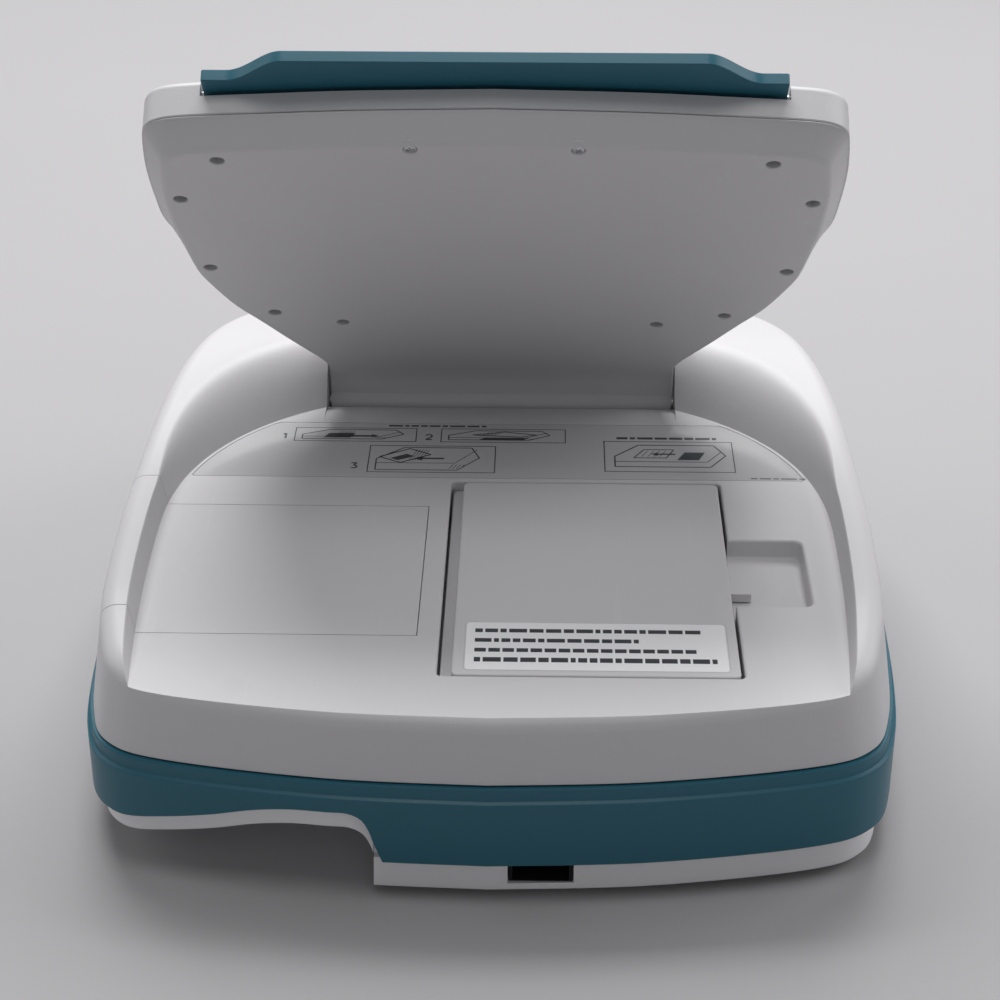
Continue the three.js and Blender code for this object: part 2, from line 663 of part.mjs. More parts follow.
function gearShape(teeth, turn) {
  const points = [];
  const pitch = (teeth * MODULE) / 2;
  const step = (2 * Math.PI) / teeth;
  for (let i = 0; i < teeth; i++) {
    const middle = turn + i * step;
    const corners = [[pitch - 0.75, -0.26], [pitch + 0.45, -0.12], [pitch + 0.45, 0.12],
      [pitch - 0.75, 0.26]];
    for (const [radius, share] of corners) {
      const angle = middle + share * step;
      points.push(at(radius * Math.cos(angle), radius * Math.sin(angle)));
    }
  }
  return points;
}

function gearSolid(teeth, turn, x, near, far, h) {
  const geometry = new THREE.ExtrudeGeometry(new THREE.Shape(gearShape(teeth, turn)),
    { depth: far - near, bevelEnabled: false });
  return solid(geometry.rotateX(Math.PI / 2).translate(x, far, h));
}

function makePlaten() {
  const near = DOOR_NEAR + WALL + 1 + SLIDE_GAP;
  const far = gearFar - GEAR_WIDTH - 2;
  const roller = cylinderY(PLATEN_RADIUS, near, far, platenX, PLATEN_H);
  return roller.subtract(cylinderY(PIN_RADIUS + GAP, near - 1, far + 1, platenX, PLATEN_H, 12));
}

function makePlatenShaft() {
  return cylinderY(PIN_RADIUS, DOOR_NEAR + 1, DOOR_FAR - 1, platenX, PLATEN_H, 12);
}

function makePlatenGear() {
  const gear = gearSolid(GEAR_TEETH, 0, platenX, gearFar - GEAR_WIDTH - 1, gearFar - 1, PLATEN_H);
  return gear.subtract(cylinderY(PIN_RADIUS + GAP, DOOR_NEAR, DOOR_FAR, platenX, PLATEN_H, 12));
}

function makePinion() {
  const turn = Math.PI + Math.PI / PINION_TEETH;
  const gear = gearSolid(PINION_TEETH, turn, pinionX, gearFar - GEAR_WIDTH - 1, gearFar - 1, PLATEN_H);
  return gear.add(cylinderY(1, gearFar - GEAR_WIDTH - 6, gearFar - 2, pinionX, PLATEN_H, 12));
}

function makeMotor() {
  const far = gearFar - GEAR_WIDTH - 2;
  const body = cylinderY(MOTOR_RADIUS, far - 22, far, motorX, PLATEN_H - 1);
  return body.subtract(cylinderY(1 + GAP, far - 6, far + 1, pinionX, PLATEN_H, 12));
}

function makePaperRoll() {
  const near = rollD - rollWidth / 2;
  const far = rollD + rollWidth / 2;
  const roll = cylinderY(ROLL_RADIUS, near, far, rollX, ROLL_H, 40);
  return roll.subtract(cylinderY(ROLL_CORE_RADIUS, near - 1, far + 1, rollX, ROLL_H));
}

function makeRollSpindle() {
  const near = rollD - rollWidth / 2 - 1.5;
  const far = rollD + rollWidth / 2 + 1.5;
  return cylinderY(ROLL_CORE_RADIUS - GAP, near, far, rollX, ROLL_H);
}

// An open trough under the roll, hung below the door opening.
function makePaperBay() {
  const near = DOOR_NEAR + 0.6;
  const far = DOOR_FAR - 0.6;
  const bottom = ROLL_H - ROLL_RADIUS - 3.5;
  const top = -FLOOR_THICKNESS - 3;
  let bay = box(bayLeft, bayRight, near, far, bottom, top);
  bay = bay.subtract(box(bayLeft + 1.8, bayRight - 1.8, near + 1.8, far - 1.8, bottom + 1.8, 20));
  for (const d of [near, far - 1.8]) {
    bay = bay.subtract(box(rollX - 2.4, rollX + 2.4, d - 1, d + 3, ROLL_H - 2.4, 20));
  }
  // lip that the paper passes over
  return bay.subtract(box(bayLeft - 1, bayLeft + 3, near + 3, far - 3, PLATEN_H - 6, 20));
}

function makePrintHead() {
  const top = PLATEN_H - PLATEN_RADIUS - 0.5;
  const near = DOOR_NEAR + 6;
  const far = gearFar - GEAR_WIDTH - 28;
  const bar = box(platenX - 4, platenX + 4, near, gearFar - 8, top - 2, top);
  return bar.add(box(platenX + 1, platenX + 10, near, far, top - 12, top - 1.9));
}

// The bracket that stands on the housing floor and carries the print head and the motor.
function makePrinterFrame() {
  const top = PLATEN_H - PLATEN_RADIUS - 0.5 - 12 - GAP;
  const near = DOOR_NEAR + 5;
  const far = DOOR_FAR - 5;
  const left = platenX - 2;
  const right = bayLeft - 2;
  const floorTop = housingBottom + WALL + GAP;
  let frame = box(left, right, near, far, top - 2, top);
  frame = frame.add(box(right - 2, right, near, far, floorTop, top));
  frame = frame.add(box(left, left + 2, near, far, floorTop, top));
  const motorFar = gearFar - GEAR_WIDTH - 2;
  const saddleTop = PLATEN_H - 1 - MOTOR_RADIUS - GAP;
  return frame.add(box(motorX - 4, motorX + 4, motorFar - 20, motorFar - 2, top - 1, saddleTop));
}

function makeTearBar() {
  const h = PLATEN_H - 4.6;
  const x = platenX - 10;
  return box(x, x + 1.6, DOOR_NEAR + 6, DOOR_FAR - 6, h, h + 5);
}

// ---------------------------------------------------------------- battery
function makeBattery() {
  const near = BATTERY_NEAR;
  const far = BATTERY_FAR;
  const lower = roundedRectangle(BATTERY_LEFT - BATTERY_STEP, BATTERY_RIGHT, near, far, 2);
  const upper = roundedRectangle(BATTERY_LEFT, BATTERY_RIGHT, near, far, 2);
  const pack = prism(lower, -BATTERY_THICKNESS, -BATTERY_LID - SLIDE_GAP)
    .add(prism(upper, -BATTERY_THICKNESS, 0));
  // seat for its label, and the notch that the latch springs into
  const withSeat = pack.subtract(box(BATTERY_LEFT + 3.8, BATTERY_RIGHT - 3.2, BATTERY_NEAR + 2.7,
    BATTERY_NEAR + 31.3, -0.5, 1));
  return withSeat.subtract(box(BATTERY_RIGHT - 2, BATTERY_RIGHT + 1, latchD - LATCH_LENGTH / 2 - 1,
    latchD + LATCH_LENGTH / 2 + 1, -FINGER_DEPTH - SLIDE_GAP, -FINGER_DEPTH + LATCH_THICKNESS + 1.2));
}

function makeBatteryLabel() {
  return prism(roundedRectangle(BATTERY_LEFT + 4.1, BATTERY_RIGHT - 3.5, BATTERY_NEAR + 3,
    BATTERY_NEAR + 31, 1.5), -0.2, 0);
}

function makeLatch() {
  const low = -FINGER_DEPTH + SLIDE_GAP;
  const half = LATCH_LENGTH / 2;
  const plateHigh = low + LATCH_THICKNESS;
  const tab = box(latchLeft, latchLeft + LATCH_WIDTH, latchD - half, latchD + half, low, plateHigh);
  const stemHalf = LATCH_STEM_WIDTH / 2;
  const stem = box(stemLeft, stemRight, latchD - stemHalf, latchD + stemHalf, low - tubWall - 3.4, low + 1);
  return tab.add(stem);
}

// A bent leaf under the recess that pushes the stem back towards the battery.
function makeLatchSpring() {
  const left = stemRight + LATCH_TRAVEL + GAP;
  const high = -FINGER_DEPTH - tubWall - GAP;
  const leaf = [at(left, latchD), at(left + 4, latchD - 14), at(left + 5, latchD - 14),
    at(left + 1.2, latchD), at(left + 5, latchD + 14), at(left + 4, latchD + 14)];
  return prism(leaf, high - 2.4, high);
}

function makeBatteryContacts() {
  const d = wellFar - 1;
  const low = wellBottom - tubWall - 4;
  let block = box(20, 46, d - 6, d - 2, low, wellBottom - tubWall - GAP);
  for (let i = 0; i < 4; i++) {
    block = block.subtract(box(22.5 + i * 6, 25.5 + i * 6, d - 4, d - 3, low + 1.5, 0));
  }
  return block;
}

// ---------------------------------------------------------------- display
function displayHalfOutline() {
  const top = DISPLAY_LENGTH;
  const wide = displayHalfWidth;
  // across: a share of the way from the neck to the widest place
  const across = (share) => NECK_HALF_WIDTH + share * (wide - NECK_HALF_WIDTH);
  const side = new THREE.SplineCurve([
    at(across(0), -6),
    at(across(0.006), 3),
    at(across(0.071), 11),
    at(across(0.163), 18.5),
    at(across(0.285), 28.5),
    at(across(0.453), 43),
    at(across(0.62), top * 0.31),
    at(across(0.756), top * 0.403),
    at(across(0.843), top * 0.479),
    at(across(0.976), top * 0.588),
    at(wide, top * 0.675),
    at(wide, top * 0.79),
    at(wide - 1.6, top * 0.888),
    at(wide - 3.2, top - 13.1),
    at(wide - 7.2, top - 8.8),
    at(wide - 13.2, top - 6.6),
    at(wide - 24, top - 5.2),
    at(wide - 41, top - 3.8),
    at(wide - 70, top - 1.6),
    at(1, top),
  ]);
  return side.getSpacedPoints(48);
}

function wholeDisplay() {
  const right = displayHalfOutline();
  return [...right, ...right.map((p) => at(-p.x, p.y)).reverse()];
}

// The slot in the top of the front moulding that the handle stands and turns in.
function handleSlot() {
  const half = handleHalfSpan + SLIDE_GAP + 0.4;
  const bottom = handlePinS - handleSweep - SLIDE_GAP;
  return box(-half, half, bottom, DISPLAY_LENGTH + 40, handleT - handleSweep - GAP, 40);
}

const displayShape = wholeDisplay();

// The display's outline moved in by an amount, between two places up its length.
function displayInside(inset, low, high) {
  const reach = (p) => (typeof inset === "function" ? inset(p) : inset);
  const right = displayHalfOutline()
    .filter((p) => p.y > low && p.y < high)
    .map((p) => at(p.x - reach(p), p.y));
  return [...right, ...right.map((p) => at(-p.x, p.y)).reverse()];
}

const bevelReach = (p) => SIDE_BEVEL * smoothStep(80, 112, p.y) * smoothStep(0, 60, Math.abs(p.x));

// The point of the flat back that lies inside a point of the parting outline.
function backPoint(p) {
  const foldS = DISPLAY_LENGTH - BACK_BEVEL - 1;
  const squeeze = foldS / DISPLAY_LENGTH;
  const share = smoothStep(100, DISPLAY_LENGTH, p.y);
  return at(p.x - Math.sign(p.x) * bevelReach(p), p.y * (1 - share * (1 - squeeze)));
}

// The back is flat in the middle and slopes away round the sides and the top.
function makeRearCover() {
  let cover = loft([raised(displayShape.map((p) => backPoint(p)), 0),
    raised(displayShape, PARTING_T - GAP / 2)]);
  const inner = displayInside((p) => bevelReach(p) + DISPLAY_WALL + 0.6, 16, DISPLAY_LENGTH - 14);
  cover = cover.subtract(plate(inner, DISPLAY_WALL, PARTING_T + 1));
  // neck: the back bends down to the hinge barrel
  const neck = [at(7, NECK_FRONT_T), at(7, 0), at(0, 0), at(-5, -1.2), at(-9, -4),
    at(HINGE_S - 2, HINGE_T - 6), at(HINGE_S - 6.5, HINGE_T), at(HINGE_S - 3, HINGE_T + 6),
    at(-7, NECK_FRONT_T - 2)];
  cover = cover.add(sweepX(neck, -NECK_HALF_WIDTH, NECK_HALF_WIDTH)
    .subtract(box(-300, 300, 4.2, 30, PARTING_T - GAP / 2, 40)));
  cover = cover.add(cylinderX(BARREL_RADIUS, -NECK_HALF_WIDTH, NECK_HALF_WIDTH, HINGE_S, HINGE_T));
  cover = cover.subtract(cylinderX(SHAFT_RADIUS + GAP, -90, 90, HINGE_S, HINGE_T, 16));
  for (const [x, s] of screwPlaces()) {
    cover = cover.subtract(cylinderZ(SCREW_RADIUS, -1, DISPLAY_WALL - 0.8, x, s, 16));
  }
  return cover;
}

// Two screws near the top edge, then five down each side towards the neck.
function screwPlaces() {
  const top = DISPLAY_LENGTH;
  const wide = displayHalfWidth;
  const neck = NECK_HALF_WIDTH;
  const right = [[26.7, top - 12.6], [wide - 26.2, top - 20.6], [wide - 10.7, top - 46.6],
    [wide - 14.2, top - 96.6], [neck + 16, 51], [neck - 8.3, 43]];
  return [...right, ...right.map(([x, s]) => [-x, s])];
}

function makeFrontBezel() {
  const low = PARTING_T + GAP / 2;
  const front = grown(displayShape, -2.2);
  const body = loft([raised(displayShape, low), raised(displayShape, DISPLAY_THICKNESS - 2),
    raised(front, DISPLAY_THICKNESS)]);
  let bezel = body.subtract(box(-300, 300, -60, 7.5, low - 1, 40));
  const inner = displayInside(DISPLAY_WALL + 0.6, 20, handlePinS - handleSweep - SLIDE_GAP - DISPLAY_WALL);
  bezel = bezel.subtract(plate(inner, low - 1, DISPLAY_THICKNESS - 3.4)).subtract(handleSlot());
  bezel = bezel.subtract(box(-screenHalf, screenHalf, SCREEN_BOTTOM_S, screenTop, 0, 40));
  for (const side of [-1, 1]) {
    const x = side * (handleHalfSpan + 4);
    bezel = bezel.subtract(cylinderX(PIN_RADIUS + GAP, x - 5, x + 5, handlePinS, handleT, 12));
  }
  return bezel;
}

const glassLow = SCREEN_BOTTOM_S + GAP;
const glassHigh = screenTop - GAP;

function makeTouchGlass() {
  const half = screenHalf - GAP;
  return box(-half, half, glassLow, glassHigh, DISPLAY_THICKNESS - 3.2, DISPLAY_THICKNESS - 1.8);
}

function makeLcdPanel() {
  const half = screenHalf - 2;
  return box(-half, half, glassLow + 1, glassHigh - 1, PARTING_T - 1.2, DISPLAY_THICKNESS - 3.5);
}

function makeDisplayBoard() {
  const back = DISPLAY_WALL + 1;
  return box(-70, 64, 60, screenTop - 10, back, back + BOARD_THICKNESS);
}

function makeDisplayCable() {
  return box(-14, 14, 22, 59.5, DISPLAY_WALL + 1, DISPLAY_WALL + 1.6);
}

function makeHingeShaft() {
  return cylinderX(SHAFT_RADIUS, -NECK_HALF_WIDTH - 9, NECK_HALF_WIDTH + 9, HINGE_S, HINGE_T, 16);
}

function makeHandle() {
  const half = handleHalfSpan;
  const bottom = handlePinS - HANDLE_HEEL;
  const end = DISPLAY_LENGTH + HANDLE_END_RISE;
  const bend = HANDLE_BEND_END - HANDLE_BEND_START;
  const right = [];
  for (let i = 0; i <= 8; i++) {
    const height = end + (HANDLE_MIDDLE_RISE - HANDLE_END_RISE) * smoothStep(0, 8, i);
    right.push(at(half - HANDLE_BEND_START - (bend * i) / 8, height));
  }
  const left = right.map((p) => at(-p.x, p.y)).reverse();
  const outline = [at(-half, bottom), at(half, bottom), at(half, end - 2), at(half - 2, end),
    ...right, ...left, at(-half + 2, end), at(-half, end - 2)];
  const low = handleT - HANDLE_THICKNESS / 2;
  let handle = prism(outline, low, low + HANDLE_THICKNESS);
  for (const side of [-1, 1]) {
    const x = side * half;
    handle = handle.subtract(cylinderX(PIN_RADIUS + GAP, x - 7, x + 7, handlePinS, handleT, 12));
  }
  return handle;
}

function makeHandlePin(side) {
  const x = side * (handleHalfSpan + 0.5);
  return cylinderX(PIN_RADIUS, x - 6.5, x + 6.5, handlePinS, handleT, 12);
}

// ---------------------------------------------------------------- the tree of named meshes
const paint = (colour, roughness, metalness = 0) =>
  new THREE.MeshStandardMaterial({ color: colour, roughness, metalness });

const model = new THREE.Group();
const base = new THREE.Group(); // turns (x, d, h) into the part's frame
const display = new THREE.Group();
model.add(base);
base.add(display);

const rearD = REAR_EDGE - BAND_PROUD;
base.position.set(0, -(rearD + frontD + BAND_PROUD) / 2, -footH);

const tilt = rad(TILT);
display.rotation.set(-tilt, 0, Math.PI);
const hingeUp = -HINGE_S * Math.cos(tilt) + HINGE_T * Math.sin(tilt);
const hingeOut = HINGE_S * Math.sin(tilt) + HINGE_T * Math.cos(tilt);
display.position.set(0, HINGE_D - hingeUp, HINGE_H - hingeOut);

function add(parent, name, shape, material) {
  const mesh = new THREE.Mesh(geometryOf(shape), material);
  mesh.name = name;
  parent.add(mesh);
}

const white = "#c9c8cb";
const teal = "#2a6273";
const dark = "#17181a";
const steel = "#a8abae";
const green = "#1f5a3c";

add(base, "upper_shell", makeUpperShell(), paint(white, 0.55));
add(base, "accent_band", makeAccentBand(), paint(teal, 0.45));
add(base, "lower_housing", makeLowerHousing(), paint(white, 0.55));
add(base, "instruction_label", prism(labelOutline(0), -0.2, 0), paint("#b9b9bd", 0.2));

const feet = [["rear_left", -92, 84], ["rear_right", 98, 40], ["front_left", -70, 270],
  ["front_right", 70, 270]];
for (const [name, x, d] of feet) {
  add(base, "foot_" + name, cylinderZ(FOOT_RADIUS, footH, housingBottom - GAP, x, d), paint(dark, 0.9));
}

// boards and fittings in the base
add(base, "main_board", box(-30, 96, 66, 236, boardH, boardH + BOARD_THICKNESS), paint(green, 0.6));
add(base, "lead_input_board", box(60, 112, 120, 180, boardH + INPUT_BOARD_LIFT,
  boardH + INPUT_BOARD_LIFT + BOARD_THICKNESS), paint(green, 0.6));
const shieldLow = boardH + INPUT_BOARD_LIFT + BOARD_THICKNESS + 3 * GAP;
add(base, "input_shield", box(62, 104, 124, 176, shieldLow, shieldLow + 9.5), paint(steel, 0.4, 1));
add(base, "board_connector", box(66, 72, 130, 170, boardH + BOARD_THICKNESS + GAP,
  boardH + INPUT_BOARD_LIFT - GAP), paint(dark, 0.6));
add(base, "patient_socket", makePatientSocket(), paint("#dfe0e0", 0.5));
add(base, "power_inlet", makePowerInlet(), paint(dark, 0.6));
add(base, "speaker", cylinderZ(14, housingBottom + WALL + 0.5, housingBottom + WALL + 8, -60, 250),
  paint(dark, 0.7));
add(base, "data_port", box(PORT_X - PORT_WIDTH / 2 + GAP, PORT_X + PORT_WIDTH / 2 - GAP, 7, PORT_FAR,
  portLow, portLow + PORT_HEIGHT - 1.2), paint(dark, 0.6));

add(base, "paper_door", makePaperDoor(), paint(white, 0.55));
add(base, "platen_roller", makePlaten(), paint(dark, 0.8));
add(base, "platen_shaft", makePlatenShaft(), paint(steel, 0.3, 1));
add(base, "platen_gear", makePlatenGear(), paint(white, 0.5));
add(base, "tear_bar", makeTearBar(), paint(steel, 0.3, 1));
add(base, "drive_pinion", makePinion(), paint("#c7a14a", 0.4, 1));
add(base, "printer_motor", makeMotor(), paint(steel, 0.4, 1));
add(base, "printer_frame", makePrinterFrame(), paint(steel, 0.4, 1));
add(base, "print_head", makePrintHead(), paint(dark, 0.4));
add(base, "paper_bay", makePaperBay(), paint(dark, 0.7));
add(base, "paper_roll", makePaperRoll(), paint("#ece7e1", 0.9));
add(base, "roll_spindle", makeRollSpindle(), paint(dark, 0.5));

add(base, "battery_pack", makeBattery(), paint(white, 0.55));
add(base, "battery_label", makeBatteryLabel(), paint("#e6e6ea", 0.4));
add(base, "battery_latch", makeLatch(), paint(white, 0.5));
add(base, "latch_spring", makeLatchSpring(), paint(steel, 0.3, 1));
add(base, "battery_contacts", makeBatteryContacts(), paint(dark, 0.5));

for (const side of [-1, 1]) {
  const name = side < 0 ? "left" : "right";
  const x = side * bracketX;
  const block = box(x - bracketHalf, x + bracketHalf, HINGE_D - 9, HINGE_D + 9, HINGE_H - 12, HINGE_H + 8);
  add(base, "hinge_bracket_" + name,
    block.subtract(cylinderX(SHAFT_RADIUS + GAP, x - 9, x + 9, HINGE_D, HINGE_H, 16)), paint(steel, 0.4, 1));
}

keyPlaces().forEach((x, i) => {
  const key = prism(roundedRectangle(x - KEY_WIDTH / 2, x + KEY_WIDTH / 2, keyD - KEY_DEPTH / 2,
    keyD + KEY_DEPTH / 2, 2), 0.5, KEY_POCKET_H + KEY_PROUD);
  add(base, "key_" + (i + 1), key, paint("#8c9497", 0.6));
});
const matLow = -2.4;
const matLeft = keyPanelLeft + KEY_MARGIN - 1;
const matRight = keyPanelRight - KEY_MARGIN + 1;
add(base, "key_mat", box(matLeft, matRight, keyD - 9, keyD + 9, matLow, matLow + 1.6),
  paint(dark, 0.9));
add(base, "key_board", box(matLeft, matRight, keyD - 9, keyD + 9,
  matLow - GAP - BOARD_THICKNESS, matLow - GAP), paint(green, 0.6));
add(base, "power_key", cylinderZ(POWER_KEY_RADIUS, 0.5, KEY_POCKET_H + KEY_PROUD, powerKeyX, keyD),
  paint("#3f8a5a", 0.6));

add(display, "display_rear_cover", makeRearCover(), paint(white, 0.55));
add(display, "display_front_bezel", makeFrontBezel(), paint(white, 0.55));
add(display, "touch_glass", makeTouchGlass(), paint("#20262a", 0.1));
add(display, "lcd_panel", makeLcdPanel(), paint("#30363a", 0.4));
add(display, "display_board", makeDisplayBoard(), paint(green, 0.6));
add(display, "display_cable", makeDisplayCable(), paint("#b07a3c", 0.5));
add(display, "hinge_shaft", makeHingeShaft(), paint(steel, 0.3, 1));
add(display, "carry_handle", makeHandle(), paint(teal, 0.45));
for (const side of [-1, 1]) {
  add(display, "handle_pin_" + (side < 0 ? "right" : "left"), makeHandlePin(side), paint(steel, 0.3, 1));
}

export default model;
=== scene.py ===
# %% [markdown]
# # A portable ECG recorder with a folding display
# The real thing is a low moulded base with a battery block, a side-loading chart printer and a
# display that folds down on a neck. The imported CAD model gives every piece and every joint.
# Here the pieces that are seen get their fine shape and all of them get their surfaces.

import json
import math

import bmesh
import bpy
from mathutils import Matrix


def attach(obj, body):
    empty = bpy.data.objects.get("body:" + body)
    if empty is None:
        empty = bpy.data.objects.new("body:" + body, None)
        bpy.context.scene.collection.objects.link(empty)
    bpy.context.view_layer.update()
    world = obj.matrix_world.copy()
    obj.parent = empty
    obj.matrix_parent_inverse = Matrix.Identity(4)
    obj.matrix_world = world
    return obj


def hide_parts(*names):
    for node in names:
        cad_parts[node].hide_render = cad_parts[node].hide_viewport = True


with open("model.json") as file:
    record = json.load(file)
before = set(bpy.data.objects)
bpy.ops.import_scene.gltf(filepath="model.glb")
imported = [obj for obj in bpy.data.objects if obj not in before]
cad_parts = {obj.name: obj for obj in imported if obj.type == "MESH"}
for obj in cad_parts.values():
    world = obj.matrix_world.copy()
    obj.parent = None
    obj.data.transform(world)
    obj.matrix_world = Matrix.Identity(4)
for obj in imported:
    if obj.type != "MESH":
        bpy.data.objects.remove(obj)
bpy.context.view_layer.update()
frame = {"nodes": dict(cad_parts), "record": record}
scene = bpy.context.scene
print("frame holds", len(frame["nodes"]), "nodes")


def add_object(name, data):
    """A new object in the scene."""
    item = bpy.data.objects.new(name, data)
    scene.collection.objects.link(item)
    return item


def evaluated(item):
    """The mesh of an object after its modifiers."""
    graph = bpy.context.evaluated_depsgraph_get()
    return bpy.data.meshes.new_from_object(item.evaluated_get(graph), depsgraph=graph)


# %% [markdown]
# ## Camera
# The recorder is seen from behind and above, as a nurse sees it across a bed. A long lens keeps
# its sides nearly parallel. The camera comes first, so that everything else is judged through it.

# %% Camera
camera_data = bpy.data.cameras.new("camera")
camera_data.sensor_width = 36
camera_data.lens = 82.8
camera = add_object("camera", camera_data)
camera.location = (0.0157, -0.7390, 0.4680)
camera.rotation_euler = (math.radians(60.90), 0, math.radians(1.1535))
scene.camera = camera
scene.view_settings.view_transform = "Standard"

# %% [markdown]
# ## Places on the recorder
# Two sets of measures are used, both in millimetres. On the base, x is across, d runs from the
# rear edge to the operator and h is the height above the recess floor. On the display, s runs up
# the back from the neck and t goes from the back to the screen. Each has one function that turns
# it into metres in the model's frame.

# %% Places
TILT = math.radians(50)
BASE_MIDDLE_D = 161.25
FLOOR_ABOVE_BENCH = 68.5
NECK_D = 221.99
NECK_H = 10.997


def on_base(x, d, h):
    return (x / 1000, (d - BASE_MIDDLE_D) / 1000, (h + FLOOR_ABOVE_BENCH) / 1000)


def on_display(x, s, t):
    d = NECK_D - s * math.cos(TILT) + t * math.sin(TILT)
    h = NECK_H + s * math.sin(TILT) + t * math.cos(TILT)
    return on_base(x, d, h)


# %% [markdown]
# ## Drawing outlines
# The base and the display are symmetrical, so each outline is drawn as its right half, from the
# near end to the far end, and mirrored. A curve runs smoothly through a few measured points and is
# then divided evenly, because even steps shade better than uneven ones.

# %% Outlines
def catmull(points, u):
    last = len(points) - 1
    i = min(int(u * last), last - 1)
    f = u * last - i
    p = [points[max(i - 1, 0)], points[i], points[i + 1], points[min(i + 2, last)]]
    result = []
    for a, b, c, d in zip(*p):
        v0, v1 = (c - a) / 2, (d - b) / 2
        result.append((2 * b - 2 * c + v0 + v1) * f**3 + (3 * c - 3 * b - 2 * v0 - v1) * f**2 + v0 * f + b)
    return tuple(result)


def spline(points, count):
    fine = [catmull(points, i / 600) for i in range(601)]
    lengths = [0]
    for a, b in zip(fine, fine[1:]):
        lengths.append(lengths[-1] + math.dist(a, b))
    result = []
    k = 0
    for i in range(count + 1):
        want = lengths[-1] * i / count
        while k < 599 and lengths[k + 1] < want:
            k += 1
        f = (want - lengths[k]) / (lengths[k + 1] - lengths[k])
        result.append(tuple(a + (b - a) * f for a, b in zip(fine[k], fine[k + 1])))
    return result


def smooth(low, high, value):
    share = min(max((value - low) / (high - low), 0), 1)
    return share * share * (3 - 2 * share)


def grown(half, distance):
    """The right half of an outline moved outwards, by a number or by a function of a point."""
    result = []
    for i, (x, y) in enumerate(half):
        a = half[i - 1] if i else (-half[1][0], half[1][1])
        b = half[i + 1] if i + 1 < len(half) else (-half[-2][0], half[-2][1])
        tx, ty = b[0] - a[0], b[1] - a[1]
        size = math.hypot(tx, ty) or 1
        reach = distance((x, y)) if callable(distance) else distance
        nx = 0 if x < 1e-6 else ty / size
        result.append((max(x + nx * reach, 0), y - tx / size * reach))
    return result


def mirrored(half):
    return half + [(-x, y) for x, y in reversed(half)]


def raised(half, height):
    """A whole outline at one height, or at a height worked out for each point."""
    return [(x, y, height((x, y)) if callable(height) else height) for x, y in mirrored(half)]


def rounded(left, right, near, far, radius, steps=6):
    """A rectangle with round corners, as a whole outline."""
    points = []
    corners = [(right - radius, near + radius, -90), (right - radius, far - radius, 0),
               (left + radius, far - radius, 90), (left + radius, near + radius, 180)]
    for x, y, start in corners:
        for i in range(steps + 1):
            angle = math.radians(start + 90 * i / steps)
            points.append((x + radius * math.cos(angle), y + radius * math.sin(angle)))
    return points


# %% [markdown]
# ## Solids
# Each moulding is a closed solid, cut and joined as a toolmaker would cut it: rings of points
# lofted into a body, then pockets taken out of it. Millimetres are kept until a piece is placed,
# because the cutting is more exact with numbers of ordinary size.

# %% Solids
def mesh_of(points, faces):
    mesh = bpy.data.meshes.new("solid")
    mesh.from_pydata(points, [], faces)
    work = bmesh.new()
    work.from_mesh(mesh)
    bmesh.ops.remove_doubles(work, verts=work.verts, dist=1e-4)
    bmesh.ops.dissolve_degenerate(work, edges=work.edges, dist=1e-4)
    bmesh.ops.recalc_face_normals(work, faces=work.faces)
    work.to_mesh(mesh)
    work.free()
    return mesh


def loft(rings, ladder=True):
    """Rings of equal count made into a closed body; mirrored rings are capped across."""
    count = len(rings[0])
    points = [p for ring in rings for p in ring]
    faces = []
    for k in range(len(rings) - 1):
        for i in range(count):
            a, b = k * count + i, k * count + (i + 1) % count
            faces.append((a, b, b + count, a + count))
    top = (len(rings) - 1) * count
    if ladder:
        for i in range(count // 2 - 1):
            j = count - 1 - i
            faces.append((i, j, j - 1, i + 1))
            faces.append((top + i, top + i + 1, top + j - 1, top + j))
    else:
        faces.append(tuple(reversed(range(count))))
        faces.append(tuple(range(top, top + count)))
    return mesh_of(points, faces)


def prism(outline, low, high):
    return loft([[(x, y, low) for x, y in outline], [(x, y, high) for x, y in outline]], ladder=False)


def slab(half, low, high):
    """Half an outline, mirrored and drawn up between two heights."""
    return loft([raised(half, low), raised(half, high)])


def block(left, right, near, far, low, high):
    return prism([(left, near), (right, near), (right, far), (left, far)], low, high)


def across(profile, left, right):
    """A profile of (d, h) points swept across the base."""
    return loft([[(left, y, z) for y, z in profile], [(right, y, z) for y, z in profile]], ladder=False)


def along(profile, near, far):
    """A profile of (x, h) points swept along the base."""
    return loft([[(x, near, z) for x, z in profile], [(x, far, z) for x, z in profile]], ladder=False)


def ring_of(radius, sides=48):
    angles = [2 * math.pi * i / sides for i in range(sides)]
    return [(radius * math.cos(a), radius * math.sin(a)) for a in angles]


def turned(profile, x, y, axis="Z", sides=48):
    """A solid of revolution from (radius, height) pairs, along Z or X through a place."""
    rings = []
    for radius, height in profile:
        if axis == "Z":
            rings.append([(x + a, y + b, height) for a, b in ring_of(radius, sides)])
        else:
            rings.append([(height, x + a, y + b) for a, b in ring_of(radius, sides)])
    return loft(rings, ladder=False)


def pocket(left, right, near, far, radius, bottom, fillet, top=0.0, steps=5):
    """A cutter for a pocket whose edge is rounded over where it meets a flat face."""
    def ring(grow, h):
        return [(x, y, h) for x, y in rounded(left - grow, right + grow, near - grow, far + grow,
                                              radius + grow)]
    rings = [ring(-1.2, bottom), ring(-0.4, bottom + 0.35), ring(0, bottom + 1.2)]
    for i in range(steps + 1):
        angle = math.pi / 2 * i / steps
        rings.append(ring(fillet * (1 - math.cos(angle)), top - fillet * (1 - math.sin(angle))))
    rings.append(ring(fillet, top + 40))
    return loft(rings, ladder=False)


